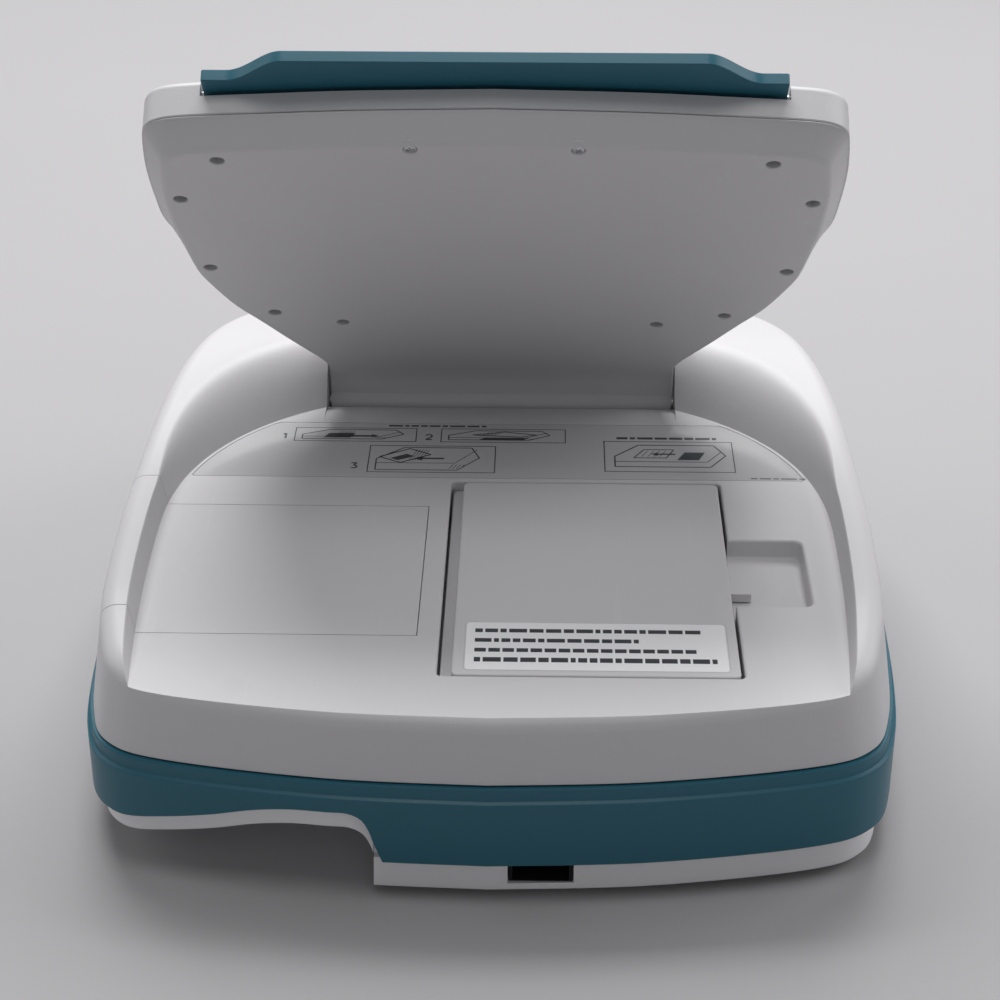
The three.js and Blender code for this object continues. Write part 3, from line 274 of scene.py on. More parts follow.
def combine(first, *steps):
    """Cuts, joins or keeps the shared part of solids: steps are ("DIFFERENCE", mesh) and so on."""
    holder = add_object("work", first)
    tools = []
    for operation, mesh in steps:
        tool = add_object("tool", mesh)
        tool.hide_render = True
        modifier = holder.modifiers.new("cut", "BOOLEAN")
        modifier.solver = "MANIFOLD"
        modifier.operation = operation
        modifier.object = tool
        tools.append(tool)
    result = evaluated(holder)
    for item in [holder, *tools]:
        bpy.data.objects.remove(item)
    return result


def cut(first, *tools):
    return combine(first, *[("DIFFERENCE", tool) for tool in tools])


def join(first, *tools):
    return combine(first, *[("UNION", tool) for tool in tools])


def common(first, other):
    return combine(first, ("INTERSECT", other))


def softened(mesh, width, segments=3, angle=35):
    """Rounds the edges of a simple solid."""
    work = bmesh.new()
    work.from_mesh(mesh)
    bmesh.ops.remove_doubles(work, verts=work.verts, dist=1e-4)
    bmesh.ops.dissolve_limit(work, angle_limit=math.radians(1), verts=work.verts, edges=work.edges)
    edges = [e for e in work.edges if len(e.link_faces) == 2
             and e.calc_face_angle() > math.radians(angle)]
    bmesh.ops.bevel(work, geom=edges, offset=width, segments=segments, affect="EDGES", profile=0.5,
                    clamp_overlap=True)
    bmesh.ops.recalc_face_normals(work, faces=work.faces)
    work.to_mesh(mesh)
    work.free()
    return mesh


# %% [markdown]
# ## Placing a piece
# A finished solid is moved into the model's frame point by point, so its object stays at the
# origin. Edges sharper than an angle stay sharp, and normals are weighted by the size of the faces,
# which keeps large flat mouldings flat right up to their rounded edges.

# %% Placing pieces
def mark_edges(work, angle):
    """Shades all faces smooth and keeps the edges that turn by more than an angle sharp."""
    for edge in work.edges:
        edge.smooth = len(edge.link_faces) == 2 and edge.calc_face_angle(0) < math.radians(angle)
    for face in work.faces:
        face.smooth = True


def place(name, mesh, where, body, slot, replaces=(), material=None, sharp=32, weighted=True):
    """Moves a solid into the model's frame, gives it its material and joins it to a body."""
    mesh.name = name
    work = bmesh.new()
    work.from_mesh(mesh)
    for vertex in work.verts:
        vertex.co = where(*vertex.co)
    bmesh.ops.remove_doubles(work, verts=work.verts, dist=2e-6)
    bmesh.ops.recalc_face_normals(work, faces=work.faces)
    mark_edges(work, sharp)
    work.to_mesh(mesh)
    work.free()
    mesh.materials.clear()
    mesh.materials.append(MATERIALS[slot] if material is None else material)
    piece = add_object(name, mesh)
    if weighted:
        modifier = piece.modifiers.new("weighted", "WEIGHTED_NORMAL")
        modifier.keep_sharp = True
        piece.data = evaluated(piece)
        piece.modifiers.clear()
    if replaces:
        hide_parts(*replaces)
    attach(piece, body)
    print(name, len(piece.data.polygons), "faces")
    return piece


# %% [markdown]
# ## Shader sums
# Shader maths is written as ordinary arithmetic. One small class stands for a number that flows
# between nodes, and one for a material, which adds any other node by its type, its settings and
# its inputs.

# %% Shader helpers
class Flow:
    """A number on a node socket."""

    def __init__(self, surface, socket):
        self.surface = surface
        self.socket = socket

    def sum(self, operation, *terms):
        node = self.surface.node("ShaderNodeMath", {"operation": operation})
        for socket, term in zip(node.inputs, terms):
            self.surface.feed(socket, term)
        return Flow(self.surface, node.outputs[0])

    def __add__(self, other):
        return self.sum("ADD", self, other)

    def __sub__(self, other):
        return self.sum("SUBTRACT", self, other)

    def __mul__(self, other):
        return self.sum("MULTIPLY", self, other)

    def step(self, low, high):
        """0 below low, 1 above high, and smooth between them."""
        node = self.surface.node("ShaderNodeMapRange", {"interpolation_type": "SMOOTHSTEP"},
                                 {"Value": self, "From Min": low, "From Max": high})
        return Flow(self.surface, node.outputs[0])


class Surface:
    """A procedural material and its one shader."""

    def __init__(self, name, roughness=0.5, **constants):
        self.material = bpy.data.materials.new(name)
        self.material.use_nodes = True
        self.tree = self.material.node_tree
        self.tree.nodes.clear()
        self.shader = self.node("ShaderNodeBsdfPrincipled", {}, {"Roughness": roughness, **constants})
        output = self.node("ShaderNodeOutputMaterial")
        self.tree.links.new(self.shader.outputs[0], output.inputs["Surface"])
        self.where = self.node("ShaderNodeTexCoord").outputs["Object"]

    def node(self, kind, settings=None, inputs=None):
        node = self.tree.nodes.new(kind)
        for key, value in (settings or {}).items():
            setattr(node, key, value)
        for key, value in (inputs or {}).items():
            self.feed(node.inputs[key], value)
        return node

    def feed(self, socket, value):
        if isinstance(value, Flow):
            self.tree.links.new(value.socket, socket)
        elif isinstance(value, bpy.types.NodeSocket):
            self.tree.links.new(value, socket)
        else:
            socket.default_value = value

    def noise(self, scale, detail=3, stretch=None, roughness=0.55):
        where = self.where
        if stretch:
            where = self.node("ShaderNodeMapping", {}, {"Vector": where, "Scale": stretch}).outputs[0]
        node = self.node("ShaderNodeTexNoise", {},
                         {"Vector": where, "Scale": scale, "Detail": detail, "Roughness": roughness})
        return Flow(self, node.outputs["Fac"])

    def blend(self, share, first, second):
        node = self.node("ShaderNodeMix", {"data_type": "RGBA"}, {"Factor": share})
        self.feed(node.inputs[6], (*first, 1) if isinstance(first, tuple) else first)
        self.feed(node.inputs[7], (*second, 1) if isinstance(second, tuple) else second)
        return node.outputs[2]

    def colour(self, value):
        self.feed(self.shader.inputs["Base Color"], value)
        return self

    def rough(self, value):
        self.feed(self.shader.inputs["Roughness"], value)
        return self

    def bump(self, height, distance):
        node = self.node("ShaderNodeBump", {}, {"Height": height, "Distance": distance})
        self.feed(self.shader.inputs["Normal"], node.outputs[0])
        return self


def shade(colour, factor):
    return tuple(min(c * factor, 1) for c in colour)


# %% [markdown]
# ## Materials
# Hospital equipment is wiped down many times a day, so its plastic is satin with a fine spark-eroded
# grain, a little polished in patches. Each plastic gets that grain as a bump, slow drifts of colour,
# fine scuffs that catch the light and a trace of grey where hands have been.

# %% Materials
def moulded(name, colour, roughness=0.46, scuffs=0.05):
    s = Surface(name, roughness, **{"Specular IOR Level": 0.42})
    drift = s.noise(9, 4)
    grime = s.noise(38, 6, roughness=0.68).step(0.55, 0.82)
    scuff = s.noise(260, 2, stretch=(1, 0.06, 1)).step(0.66, 0.74)
    base = s.blend(drift, shade(colour, 0.965), shade(colour, 1.03))
    base = s.blend(grime * 0.16, base, shade(colour, 0.78))
    base = s.blend(scuff * scuffs, base, (0.9, 0.9, 0.9))
    s.colour(base)
    s.rough(drift * 0.1 + roughness - 0.05 + grime * 0.08 - scuff * 0.06)
    s.bump(s.noise(1100, 2) + s.noise(60, 2) * 0.5, 0.000035)
    return s.material


def metal(name, colour, roughness=0.3):
    s = Surface(name, roughness, Metallic=1.0)
    lines = s.noise(1800, 3, stretch=(1, 0.04, 1))
    cloud = s.noise(60, 4)
    s.colour(s.blend(cloud, shade(colour, 0.82), shade(colour, 1.08)))
    s.rough(lines * 0.18 + cloud * 0.12 + roughness - 0.12)
    s.bump(lines, 0.00002)
    return s.material


def soft_rubber(name, colour):
    s = Surface(name, 0.8, **{"Specular IOR Level": 0.3})
    dust = s.noise(120, 5).step(0.45, 0.8)
    s.colour(s.blend(dust * 0.4, colour, shade(colour, 2.6)))
    s.rough(dust * 0.12 + 0.72)
    s.bump(s.noise(1500, 3), 0.00006)
    return s.material


def circuit_board(name):
    s = Surface(name, 0.35, **{"Coat Weight": 0.4})
    where = s.node("ShaderNodeMapping", {}, {"Vector": s.where, "Scale": (260, 260, 0)}).outputs[0]
    brick = s.node("ShaderNodeTexBrick", {"offset": 0.37, "squash": 1.0},
                   {"Vector": where, "Scale": 1.0, "Mortar Size": 0.06, "Brick Width": 1.7,
                    "Row Height": 0.5})
    track = Flow(s, brick.outputs["Fac"])
    base = s.blend(track, (0.012, 0.10, 0.045), (0.05, 0.24, 0.11))
    s.colour(s.blend(s.noise(900, 1).step(0.68, 0.7) * 0.7, base, (0.62, 0.6, 0.55)))
    s.rough(track * 0.2 + 0.3)
    s.bump(track, 0.00005)
    return s.material


def film(name, colour, roughness=0.16):
    s = Surface(name, roughness, **{"Coat Weight": 0.6, "Coat Roughness": 0.08})
    ripple = s.noise(22, 2)
    s.colour(s.blend(s.noise(14, 5), shade(colour, 0.97), shade(colour, 1.02)))
    s.rough(s.noise(300, 4) * 0.08 + roughness)
    s.bump(ripple + s.noise(1400, 2) * 0.04, 0.00012)
    return s.material


def ink(name, colour):
    s = Surface(name, 0.3, **{"Coat Weight": 0.4})
    s.colour(s.blend(s.noise(2500, 2).step(0.3, 0.7), colour, shade(colour, 1.5)))
    s.bump(s.noise(1800, 2), 0.00001)
    return s.material


def chart_paper(name):
    s = Surface(name, 0.75)
    fibres = s.noise(1600, 2, stretch=(0.1, 1, 0.1))
    s.colour(s.blend(fibres, (0.80, 0.72, 0.68), (0.9, 0.84, 0.8)))
    s.bump(fibres, 0.00005)
    return s.material


def screen_glass(name):
    s = Surface(name, 0.12, **{"Coat Weight": 0.5, "Alpha": 0.35, "IOR": 1.5})
    smear = s.noise(24, 5, stretch=(1, 0.4, 0.4)).step(0.4, 0.75)
    s.colour(s.blend(smear, (0.012, 0.014, 0.017), (0.05, 0.055, 0.06)))
    s.rough(smear * 0.14 + 0.08)
    s.bump(s.noise(2600, 2), 0.000006)
    return s.material


def lcd_panel(name):
    s = Surface(name, 0.4)
    rows = s.node("ShaderNodeTexWave", {"bands_direction": "X", "wave_type": "BANDS"},
                  {"Vector": s.where, "Scale": 900.0})
    s.colour(s.blend(Flow(s, rows.outputs["Fac"]) * 0.5, (0.012, 0.016, 0.02), (0.03, 0.036, 0.042)))
    s.bump(Flow(s, rows.outputs["Fac"]), 0.00001)
    return s.material


WHITE = (0.62, 0.61, 0.625)
TEAL = (0.019, 0.125, 0.178)
MATERIALS = {
    "white_plastic": moulded("white_moulding", WHITE),
    "teal_plastic": moulded("teal_moulding", TEAL, 0.4, scuffs=0),
    "grey_plastic": moulded("grey_moulding", (0.2, 0.21, 0.22), 0.5),
    "dark_plastic": moulded("dark_moulding", (0.018, 0.018, 0.02), 0.55),
    "power_green": moulded("green_key", (0.06, 0.26, 0.13), 0.45),
    "rubber": soft_rubber("rubber", (0.018, 0.018, 0.019)),
    "steel": metal("steel", (0.6, 0.6, 0.61)),
    "brass": metal("brass", (0.72, 0.5, 0.2)),
    "board": circuit_board("circuit_board"),
    "label": film("label_film", (0.56, 0.56, 0.57)),
    "chart_paper": chart_paper("chart_paper"),
    "screen_glass": screen_glass("screen_glass"),
    "lcd": lcd_panel("lcd_panel"),
    "cable": film("flat_cable", (0.5, 0.26, 0.06), 0.3),
}
INK = ink("label_ink", (0.03, 0.033, 0.04))
STICKER = film("sticker_paper", (0.93, 0.93, 0.94), 0.3)
# The lower housing is the same white plastic as the shell, painted lighter: painted light that stands in for
# the light bounced up from the floor onto its strip.
HOUSING_WHITE_PAINTED_LIGHT = moulded("housing_moulding_painted_light", (0.9, 0.885, 0.9))
PORT_BLACK = moulded("port_moulding", (0.004, 0.004, 0.0045), 0.75, scuffs=0)
SLOT_OF = {row["node"]: row["material_slot"] for row in frame["record"]["subparts"]}
SLOT_OF["battery_latch"] = "white_plastic"  # moulded in the colour of the shell
for node, item in frame["nodes"].items():
    for index in range(len(item.material_slots)):
        item.material_slots[index].link = "OBJECT"
        item.material_slots[index].material = MATERIALS[SLOT_OF[node]]
print(len(MATERIALS), "materials")

# %% [markdown]
# ## Base outline
# Seen from above, the base is an arc at the rear, full sides and a squarish oval nose. The floor of
# the recess is its own oval inside it. The rim between them starts low at the rear edge, rises
# along the sides and swells into two shoulders beside the neck.

# %% Base outlines
HALF_WIDTH = 129.5
WIDEST_D = 112
FLOOR_HALF_WIDTH = 117.7
FLOOR_WIDEST_D = 118
FLOOR_START_D = -20


def rear_arc(x):
    return 0.5 + x * x / 822


def oval(half_width, reach, power, steps):
    points = []
    for i in range(1, steps + 1):
        angle = math.pi / 2 * i / steps
        x = half_width * math.cos(angle) ** (2 / power) if i < steps else 0
        points.append((x, reach * math.sin(angle) ** (2 / power)))
    return points


corner = [(0, rear_arc(0)), (49.5, rear_arc(49.5)), (99, rear_arc(99)), (117.5, 22), (124.5, 40),
          (127.9, 70), (HALF_WIDTH, WIDEST_D)]
base_half = spline(corner, 110) + [(x, WIDEST_D + y) for x, y in oval(HALF_WIDTH, 210, 2.6, 120)]
low_half = [(x * 1.035, y) for x, y in base_half]
floor_near = []
for step in range(41):
    depth = FLOOR_START_D + (FLOOR_WIDEST_D - FLOOR_START_D) * step / 40
    narrowing = ((FLOOR_WIDEST_D - depth) / FLOOR_WIDEST_D) ** 2
    floor_near.append((FLOOR_HALF_WIDTH - 7.5 * narrowing, depth))
floor_far = [(x, FLOOR_WIDEST_D + y) for x, y in oval(FLOOR_HALF_WIDTH, 108, 2.3, 110)]
floor_half = [(0, FLOOR_START_D)] + floor_near + floor_far


def crest(d):
    """Height of the rim above the recess floor."""
    return 11.5 * smooth(-12, 62, d) + 9.5 * smooth(130, 230, d) - 14 * smooth(230, 322, d)


def lean(d):
    """How far the recess wall leans out before it reaches the crest."""
    return 2 + 22 * smooth(125, 220, d)


# %% [markdown]
# ## Upper shell
# One big injection moulding with a rolled edge. The recess is cut with a tool whose wall bulges, so
# the shoulders come out convex and meet the floor in a crisp line. Pockets follow for the battery,
# the finger that pushes its latch, the neck's barrel, the keys and the paper door.

# %% Upper shell
EDGE = 6
SHELL_BOTTOM = -24


def full_shell():
    rings = [raised(grown(low_half, -0.5), SHELL_BOTTOM), raised(low_half, SHELL_BOTTOM + 0.5)]
    for i in range(9):
        angle = math.pi / 2 * i / 8
        ring = grown(base_half, -EDGE * (1 - math.cos(angle)))
        rings.append(raised(ring, lambda p, a=angle: crest(p[1]) - EDGE * (1 - math.sin(a))))
    return loft(rings)


def recess():
    rings = [raised(floor_half, 0)]
    for i in range(1, 17):
        share = (i / 16) ** 1.3
        ring = grown(floor_half, lambda p, f=share: f * lean(p[1]))
        rise = math.sin(math.pi / 2 * share)
        rings.append(raised(ring, lambda p, r=rise, f=share: max(0.05 + f, crest(p[1]) * r)))
    rings.append(raised(grown(floor_half, lambda p: lean(p[1])), 42))
    return loft(rings)


def neck_way():
    """The floor rolls down between the shoulders to the barrel of the neck."""
    profile = [(200, 41), (200, 0)]
    for i in range(1, 13):
        angle = math.radians(2.5 * i)
        profile.append((200 + 60 * math.sin(angle), 60 * (math.cos(angle) - 1)))
    profile += [(233, -14.5), (233, 41)]
    return across(profile, -67, 67)


KEY_D = 284
POWER_KEY_X = 62
key_xs = [(i - 2) * 22 - 8 for i in range(5)]
door_cut = block(-200, -23.7, 49.2, 134.8, SHELL_BOTTOM - 1, 60)
open_shell = cut(full_shell(), recess())
inside_half = grown(base_half, -2.6)
inside_low = grown(low_half, -2.6)
hollow = loft([raised(inside_low, SHELL_BOTTOM - 1), raised(inside_low, SHELL_BOTTOM),
               raised(inside_half, -3)])
deck = common(block(-200, 200, 245, 331, SHELL_BOTTOM - 1, 2),
              slab(inside_half, SHELL_BOTTOM - 2, 2))
shell = cut(open_shell.copy(), hollow.copy(), deck)
shell = join(shell, block(-22.4, 82.6, 24.4, 155.6, -22.6, -1), block(80, 108, 68, 115, -9, -1),
             block(-69.6, 69.6, 215.4, 245.1, -17.1, -1))
shell = cut(shell, prism(rounded(-20.4, 80.6, 26.4, 153.6, 2), -20.6, -3),
            pocket(-16.6, 80.6, 26.4, 153.6, 2, -20.6, 0.8),
            pocket(74.5, 106, 70, 113, 3, -7, 1.1),
            block(80, 86.6, 87.9, 95.1, -20, -6), neck_way(),
            block(-67, 67, 218, 242.5, -14.5, 60),
            turned([(3.1, -76.3), (3.1, 76.3)], 228, -5.5, "X", 32), door_cut)
for side in (-1, 1):
    shell = cut(shell, block(side * 73 - 3.3, side * 73 + 3.3, 218.7, 237.3, -40, 2.8))
shell = cut(shell, pocket(key_xs[0] - 14, 73.5, KEY_D - 10, KEY_D + 10, 4, 4, 0.8,
                          top=crest(KEY_D) + 0.4))
for x in key_xs:
    shell = cut(shell, block(x - 8.6, x + 8.6, KEY_D - 5.6, KEY_D + 5.6, 0, 20))
shell = cut(shell, turned([(6.1, 0), (6.1, 20)], POWER_KEY_X, KEY_D))


def label_half(extra):
    near, far = 156.2 - extra, 199 + extra
    side = [p for p in grown(floor_half, extra - 1.5) if near < p[1] < far]
    return [(0, near), (side[0][0] - 1, near), (side[0][0], near + 1)] + side[1:-1] + [
        (side[-1][0] - 1, far), (side[-1][0] - 5, far), (0, far)]


shell = cut(shell, slab(label_half(0.3), -0.5, 0.6))
place("shell", shell, on_base, "base", "white_plastic", ["upper_shell"])

# %% [markdown]
# ## Paper door
# The door is cut from the same surface as the shell, so its top runs on from the floor over the rim
# and down the left side. It slides off to the left with the rubber platen on its cheeks, and the
# chart leaves through the slot below its edge.

# %% Paper door
door = combine(open_shell.copy(),
               ("INTERSECT", block(-200, -24, 49.5, 134.5, SHELL_BOTTOM + 0.3, 60)),
               ("DIFFERENCE", hollow.copy()))
cheek_room = slab(grown(base_half, -2.5), -22, 0)
for near in (50.5, 130.9):
    cheek = common(block(-121, -105, near, near + 2.6, -16.5, -1), cheek_room.copy())
    door = join(door, cheek)
shaft_way = loft([[(-112 + a, 44, -12 + b) for a, b in ring_of(2.1, 24)],
                  [(-112 + a, 140, -12 + b) for a, b in ring_of(2.1, 24)]], ladder=False)
door = cut(door, shaft_way, block(-200, -121, 53.5, 130.5, -20.5, -17.5))
place("door", door, on_base, "door", "white_plastic", ["paper_door"])

# %% [markdown]
# ## Coloured band and lower housing
# A teal band wraps the base like a bumper, with a narrow step along its top. Below it a white strip
# of the lower housing shows, with the data port. Under the rear left corner both are cut away in a
# long curve, so that fingers can get under the base to lift it.

# %% Band and housing
BAND_TOP = -24.3
BAND_LOW = -53.4
HOUSING_BOTTOM = -65.5
SOCKET_H = -38.7
LEAD_SOCKET_D = 150
ADAPTER_D = 190


def scoop(lower, far):
    right = -38
    top = -34.7
    curve = [(right - 90, -47.3), (right - 80, -47.1), (right - 66, -44.1), (right - 50, top - 5.8),
             (right - 36, top - 2), (right - 24, top - 0.2), (right - 12, top), (right - 6, top),
             (right - 1.6, top - 2), (right + 0.8, top - 6), (right + 2, top - 10)]
    edge = [(x, h - lower) for x, h in spline(curve, 60)]
    floor = BAND_LOW - (20 if lower else 1)
    foot = right + 5.5 - (4 if lower else 0)
    return along([(-200, -47.3 - lower)] + edge + [(foot, floor), (-200, floor)], -20, far)


band_rings = []
for offset, height in [(2.0, BAND_LOW), (2.6, BAND_LOW + 0.6), (2.6, -30.1), (2.35, -29.5),
                       (1.75, -29.2), (1.35, -28.9), (1.2, -28.3), (1.2, -24.8), (0.8, BAND_TOP)]:
    band_rings.append(raised(grown(low_half, offset), height))
band = cut(loft(band_rings),
           slab(grown(low_half, -2.9), -60, -20),
           turned([(11, 100), (11, 150)], LEAD_SOCKET_D, SOCKET_H, "X", 64),
           turned([(5.2, 100), (5.2, 150)], ADAPTER_D, SOCKET_H, "X", 48), scoop(0, 44.3))
place("band", band, on_base, "base", "teal_plastic", ["accent_band"])

housing_rings = []
for i in range(5):
    angle = math.pi / 2 * i / 4
    housing_rings.append(raised(grown(low_half, -2 + math.sin(angle)),
                                HOUSING_BOTTOM + 1 - math.cos(angle)))
housing_rings.append(raised(grown(low_half, -1), -53.7))
housing = cut(loft(housing_rings),
              slab(grown(low_half, -4.6), -62.9, -50),
              block(6.4, 27.4, -10, 14, -62.6, -50))
proud = slab(grown(low_half, -1), HOUSING_BOTTOM, -23)
behind = slab(grown(low_half, -3.2), HOUSING_BOTTOM, -35)
tub = join(scoop(0.3, 46.6), block(-38, -30.4, -10, 46.6, HOUSING_BOTTOM, -39))
housing = join(housing, common(tub, behind), common(scoop(0.3, 44), proud))
housing = cut(housing, scoop(8, 44))
# The strip's white is painted lighter here, as painted bounce light from the floor.
place("housing", housing, on_base, "base", "white_plastic", ["lower_housing"], material=HOUSING_WHITE_PAINTED_LIGHT)

# %% [markdown]
# ## Battery
# A flat block flush with the recess floor. Its edges are rounded so that it can be lifted past the
# well's edges, and the maker's sticker lies in a shallow seat at its near end.

# %% Battery
lid = softened(prism(rounded(-12, 79.5, 27, 153, 2.2), -20, -0.05), 0.7, angle=60)
lower = softened(prism(rounded(-15.8, 79.5, 27, 153, 2.2), -20, -3.6), 0.5, angle=60)
pack = cut(join(lid, lower), pocket(-8.2, 76.3, 29.7, 58.3, 1.6, -0.5, 0.2, top=-0.05),
           block(77.5, 81, 81.5, 101.5, -7.6, -2.8))
place("battery", pack, on_base, "battery", "white_plastic", ["battery_pack"])
sticker = softened(prism(rounded(-7.9, 76, 30, 58, 1.5), -0.45, -0.1), 0.1, angle=60)
place("battery_sticker", sticker, on_base, "battery", "label", ["battery_label"], material=STICKER)

# %% [markdown]
# ## Display
# The display is two mouldings screwed together. The rear one is flat with a sloping border that
# widens towards the top, and narrows in a long flare to the neck. The front one holds the screen
# and has a slot in its top edge for the handle. A dark seam shows where they meet.

# %% Display outlines
TOP_S = 183.6
FOLD_TOP_S = 174.6
HINGE_S, HINGE_T = -16.5, -6
PIN_S, PIN_T = 172.5, 18.45


def display_half():
    points = [(66, -6), (66.3, 3), (69.5, 11), (74, 18.5), (80, 28.5), (88.3, 43), (96.5, 57),
              (103.2, 74), (107.5, 88), (114, 108), (115.2, 124), (115.2, 145), (113.6, 163),
              (112, 170.5), (108, 174.8), (102, 177), (91.2, 178.4), (74.2, 179.8), (45.2, 182),
              (0, TOP_S)]
    return spline(points, 220)


def bevel_reach(x, s):
    return 6 * smooth(80, 112, s) * smooth(0, 60, x)


def fold_point(point):
    x, s = point
    drop = smooth(100, TOP_S, s) * (1 - FOLD_TOP_S / TOP_S)
    return (max(x - bevel_reach(x, s), 0), s * (1 - drop))


def ring_between(a, b, share, height):
    half = [tuple(p + (q - p) * share for p, q in zip(first, second)) for first, second in zip(a, b)]
    return raised(half, height)


def with_pin_holes(solid, middle, reach):
    """Bores for the handle's two pins."""
    for x in (-middle, middle):
        solid = cut(solid, turned([(1.8, x - reach), (1.8, x + reach)], PIN_S, PIN_T, "X", 24))
    return solid


# %% Rear cover
SEAM = 8
screws = [(26.7, 171), (89, 163), (104.5, 137), (101, 87), (82, 51), (57.7, 43)]
screws += [(-x, s) for x, s in screws]
top_screws = [(x, s) for x, s in screws if abs(x) < 40]
side_screws = [(x, s) for x, s in screws if abs(x) > 40]
outer = display_half()
fold = [fold_point(p) for p in outer]
flat = [(x - 1.4 * smooth(0, 30, x), s - 1.4 * smooth(120, 175, s)) for x, s in fold]
rear_rings = []
for i in range(6):
    u = i / 5
    low = [tuple((1 - u) * a + u * b for a, b in zip(p, q)) for p, q in zip(flat, fold)]
    slope = [tuple(a + (b - a) * 0.16 * u for a, b in zip(p, q)) for p, q in zip(fold, outer)]
    ring = [tuple((1 - u) * a + u * b for a, b in zip(p, q)) for p, q in zip(low, slope)]
    rear_rings.append(raised(ring, SEAM * 0.16 * u * u))
for share in (0.5, 0.9):
    rear_rings.append(ring_between(fold, outer, share, SEAM * share))
rear_rings.append(ring_between(fold, outer, 1, SEAM - 0.5))
rear_rings.append(raised(grown(outer, -0.35), SEAM - 0.15))
cover = loft(rear_rings)
room = [(x - bevel_reach(x, s) - 2.6, s) for x, s in outer if 16 < s < 166 and x > 60]
cover = cut(cover, slab(room, 2, 9))
bend = [(9, 0), (4, 0), (0, -0.2), (-3, -0.8), (-5.5, -1.8), (-9, -4.2), (-13, -7.4), (-18.5, -12)]
neck = spline(bend, 40) + [(-21.5, -9.5), (-23, -6), (-19.5, 0), (-7, 8), (4.2, 7.85), (9, 7.85)]
cover = join(cover, across(neck, -66, 66), turned([(6.5, -66), (6.5, 66)], HINGE_S, HINGE_T, "X", 64))
for x, s in screws:
    cover = join(cover, turned([(4.4, 1), (4.4, 7.4)], x, s, sides=32))
cover = cut(cover, turned([(2.8, -90), (2.8, 90)], HINGE_S, HINGE_T, "X", 40))
for x, s in screws:
    deep = 1.1 if (x, s) in top_screws else 4.6
    cover = cut(cover, turned([(2.35, deep), (2.35, 0.3), (2.65, 0), (2.65, -2)], x, s, sides=40))
place("rear_cover", cover, on_display, "display", "white_plastic", ["display_rear_cover"], sharp=26)

# %% Front bezel
front_rings = [raised(grown(outer, -0.35), SEAM + 0.15), raised(outer, SEAM + 0.5)]
for i in range(9):
    angle = math.pi / 2 * i / 8
    front_rings.append(raised(grown(outer, -2.5 * (1 - math.cos(angle))), 18.5 + 2.5 * math.sin(angle)))
bezel = cut(loft(front_rings), block(-300, 300, -60, 7.5, 0, 40))
room = [(x - 2.6, s) for x, s in outer if 20 < s < 166 and x > 60]
bezel = cut(bezel, slab(room, 7, 17.6),
            block(-93.5, 93.5, 168.5, 230, 14.9, 40), block(-84, 84, 46, 160, 0, 40))
bezel = with_pin_holes(bezel, 96.5, 5)
place("front_bezel", bezel, on_display, "display", "white_plastic", ["display_front_bezel"], sharp=26)

# %% [markdown]
# ## Carry handle
# A slim teal bail stands in the slot in the top of the display, and swings on two steel pins. It
# rises in a soft S from each end to a long straight middle.

# %% Handle
def handle_top(x):
    return 185 + 11.4 * smooth(-84.5, -66, -abs(x))


top_line = [(x, handle_top(x)) for x in [92 - 184 * i / 160 for i in range(161)]]
bail = [(-92.5, 170), (92.5, 170), (92.5, 184.5)] + top_line + [(-92.5, 184.5)]
handle = softened(prism(bail, 16.4, 20.5), 0.35, angle=50)
handle = with_pin_holes(handle, 92.5, 7)
place("handle", handle, on_display, "handle", "teal_plastic", ["carry_handle"])

# %% [markdown]
# ## Screws
# Twelve screws hold the display together: two bright ones in shallow seats near the top and ten
# small ones down deep holes, their metal painted dark as painted shade of those holes. One screw
# head is modelled, and a Geometry Nodes tree sets a copy at each point, so that moving a screw
# means moving a point.

# %% Screws
def screw_head(name, radius, material):
    dome = turned([(radius, 0.0), (radius, 0.5), (radius * 0.93, 0.75), (radius * 0.6, 0.95),
                   (radius * 0.2, 1.0)], 0, 0, sides=40)
    slot = 0.16 * radius
    dome = cut(dome, block(-radius * 0.62, radius * 0.62, -slot, slot, 0.35, 2),
               block(-slot, slot, -radius * 0.62, radius * 0.62, 0.35, 2))
    for vertex in dome.vertices:
        x, y, z = vertex.co
        vertex.co = (x / 1000, -y / 1000, -z / 1000)
    dome.flip_normals()
    dome.materials.append(material)
    return add_object(name, dome)


def copying_tree(name, head, material):
    """A Geometry Nodes tree that sets a tilted copy of head on every point, each turned by chance."""
    tree = bpy.data.node_groups.new(name, "GeometryNodeTree")
    tree.interface.new_socket("Geometry", in_out="INPUT", socket_type="NodeSocketGeometry")
    tilt_in = tree.interface.new_socket("Tilt", in_out="INPUT", socket_type="NodeSocketFloat")
    tree.interface.new_socket("Geometry", in_out="OUTPUT", socket_type="NodeSocketGeometry")
    start = tree.nodes.new("NodeGroupInput")
    end = tree.nodes.new("NodeGroupOutput")
    source = tree.nodes.new("GeometryNodeObjectInfo")
    source.inputs["Object"].default_value = head
    turn = tree.nodes.new("ShaderNodeCombineXYZ")
    spin = tree.nodes.new("FunctionNodeRandomValue")
    spin.data_type = "FLOAT"
    spin.inputs["Seed"].default_value = 7
    spin.inputs[3].default_value = 3.0
    spread = tree.nodes.new("GeometryNodeInstanceOnPoints")
    roll = tree.nodes.new("GeometryNodeRotateInstances")
    own_axis = tree.nodes.new("ShaderNodeCombineXYZ")
    real = tree.nodes.new("GeometryNodeRealizeInstances")
    finish = tree.nodes.new("GeometryNodeSetMaterial")
    finish.inputs["Material"].default_value = material
    link = tree.links.new
    link(start.outputs[0], spread.inputs["Points"])
    link(source.outputs["Geometry"], spread.inputs["Instance"])
    link(start.outputs["Tilt"], turn.inputs["X"])
    link(turn.outputs[0], spread.inputs["Rotation"])
    link(spin.outputs[1], own_axis.inputs["Z"])
    link(spread.outputs[0], roll.inputs["Instances"])
    link(own_axis.outputs[0], roll.inputs["Rotation"])
    link(roll.outputs[0], real.inputs[0])
    link(real.outputs[0], finish.inputs["Geometry"])
    link(finish.outputs[0], end.inputs[0])
    return tree, tilt_in.identifier


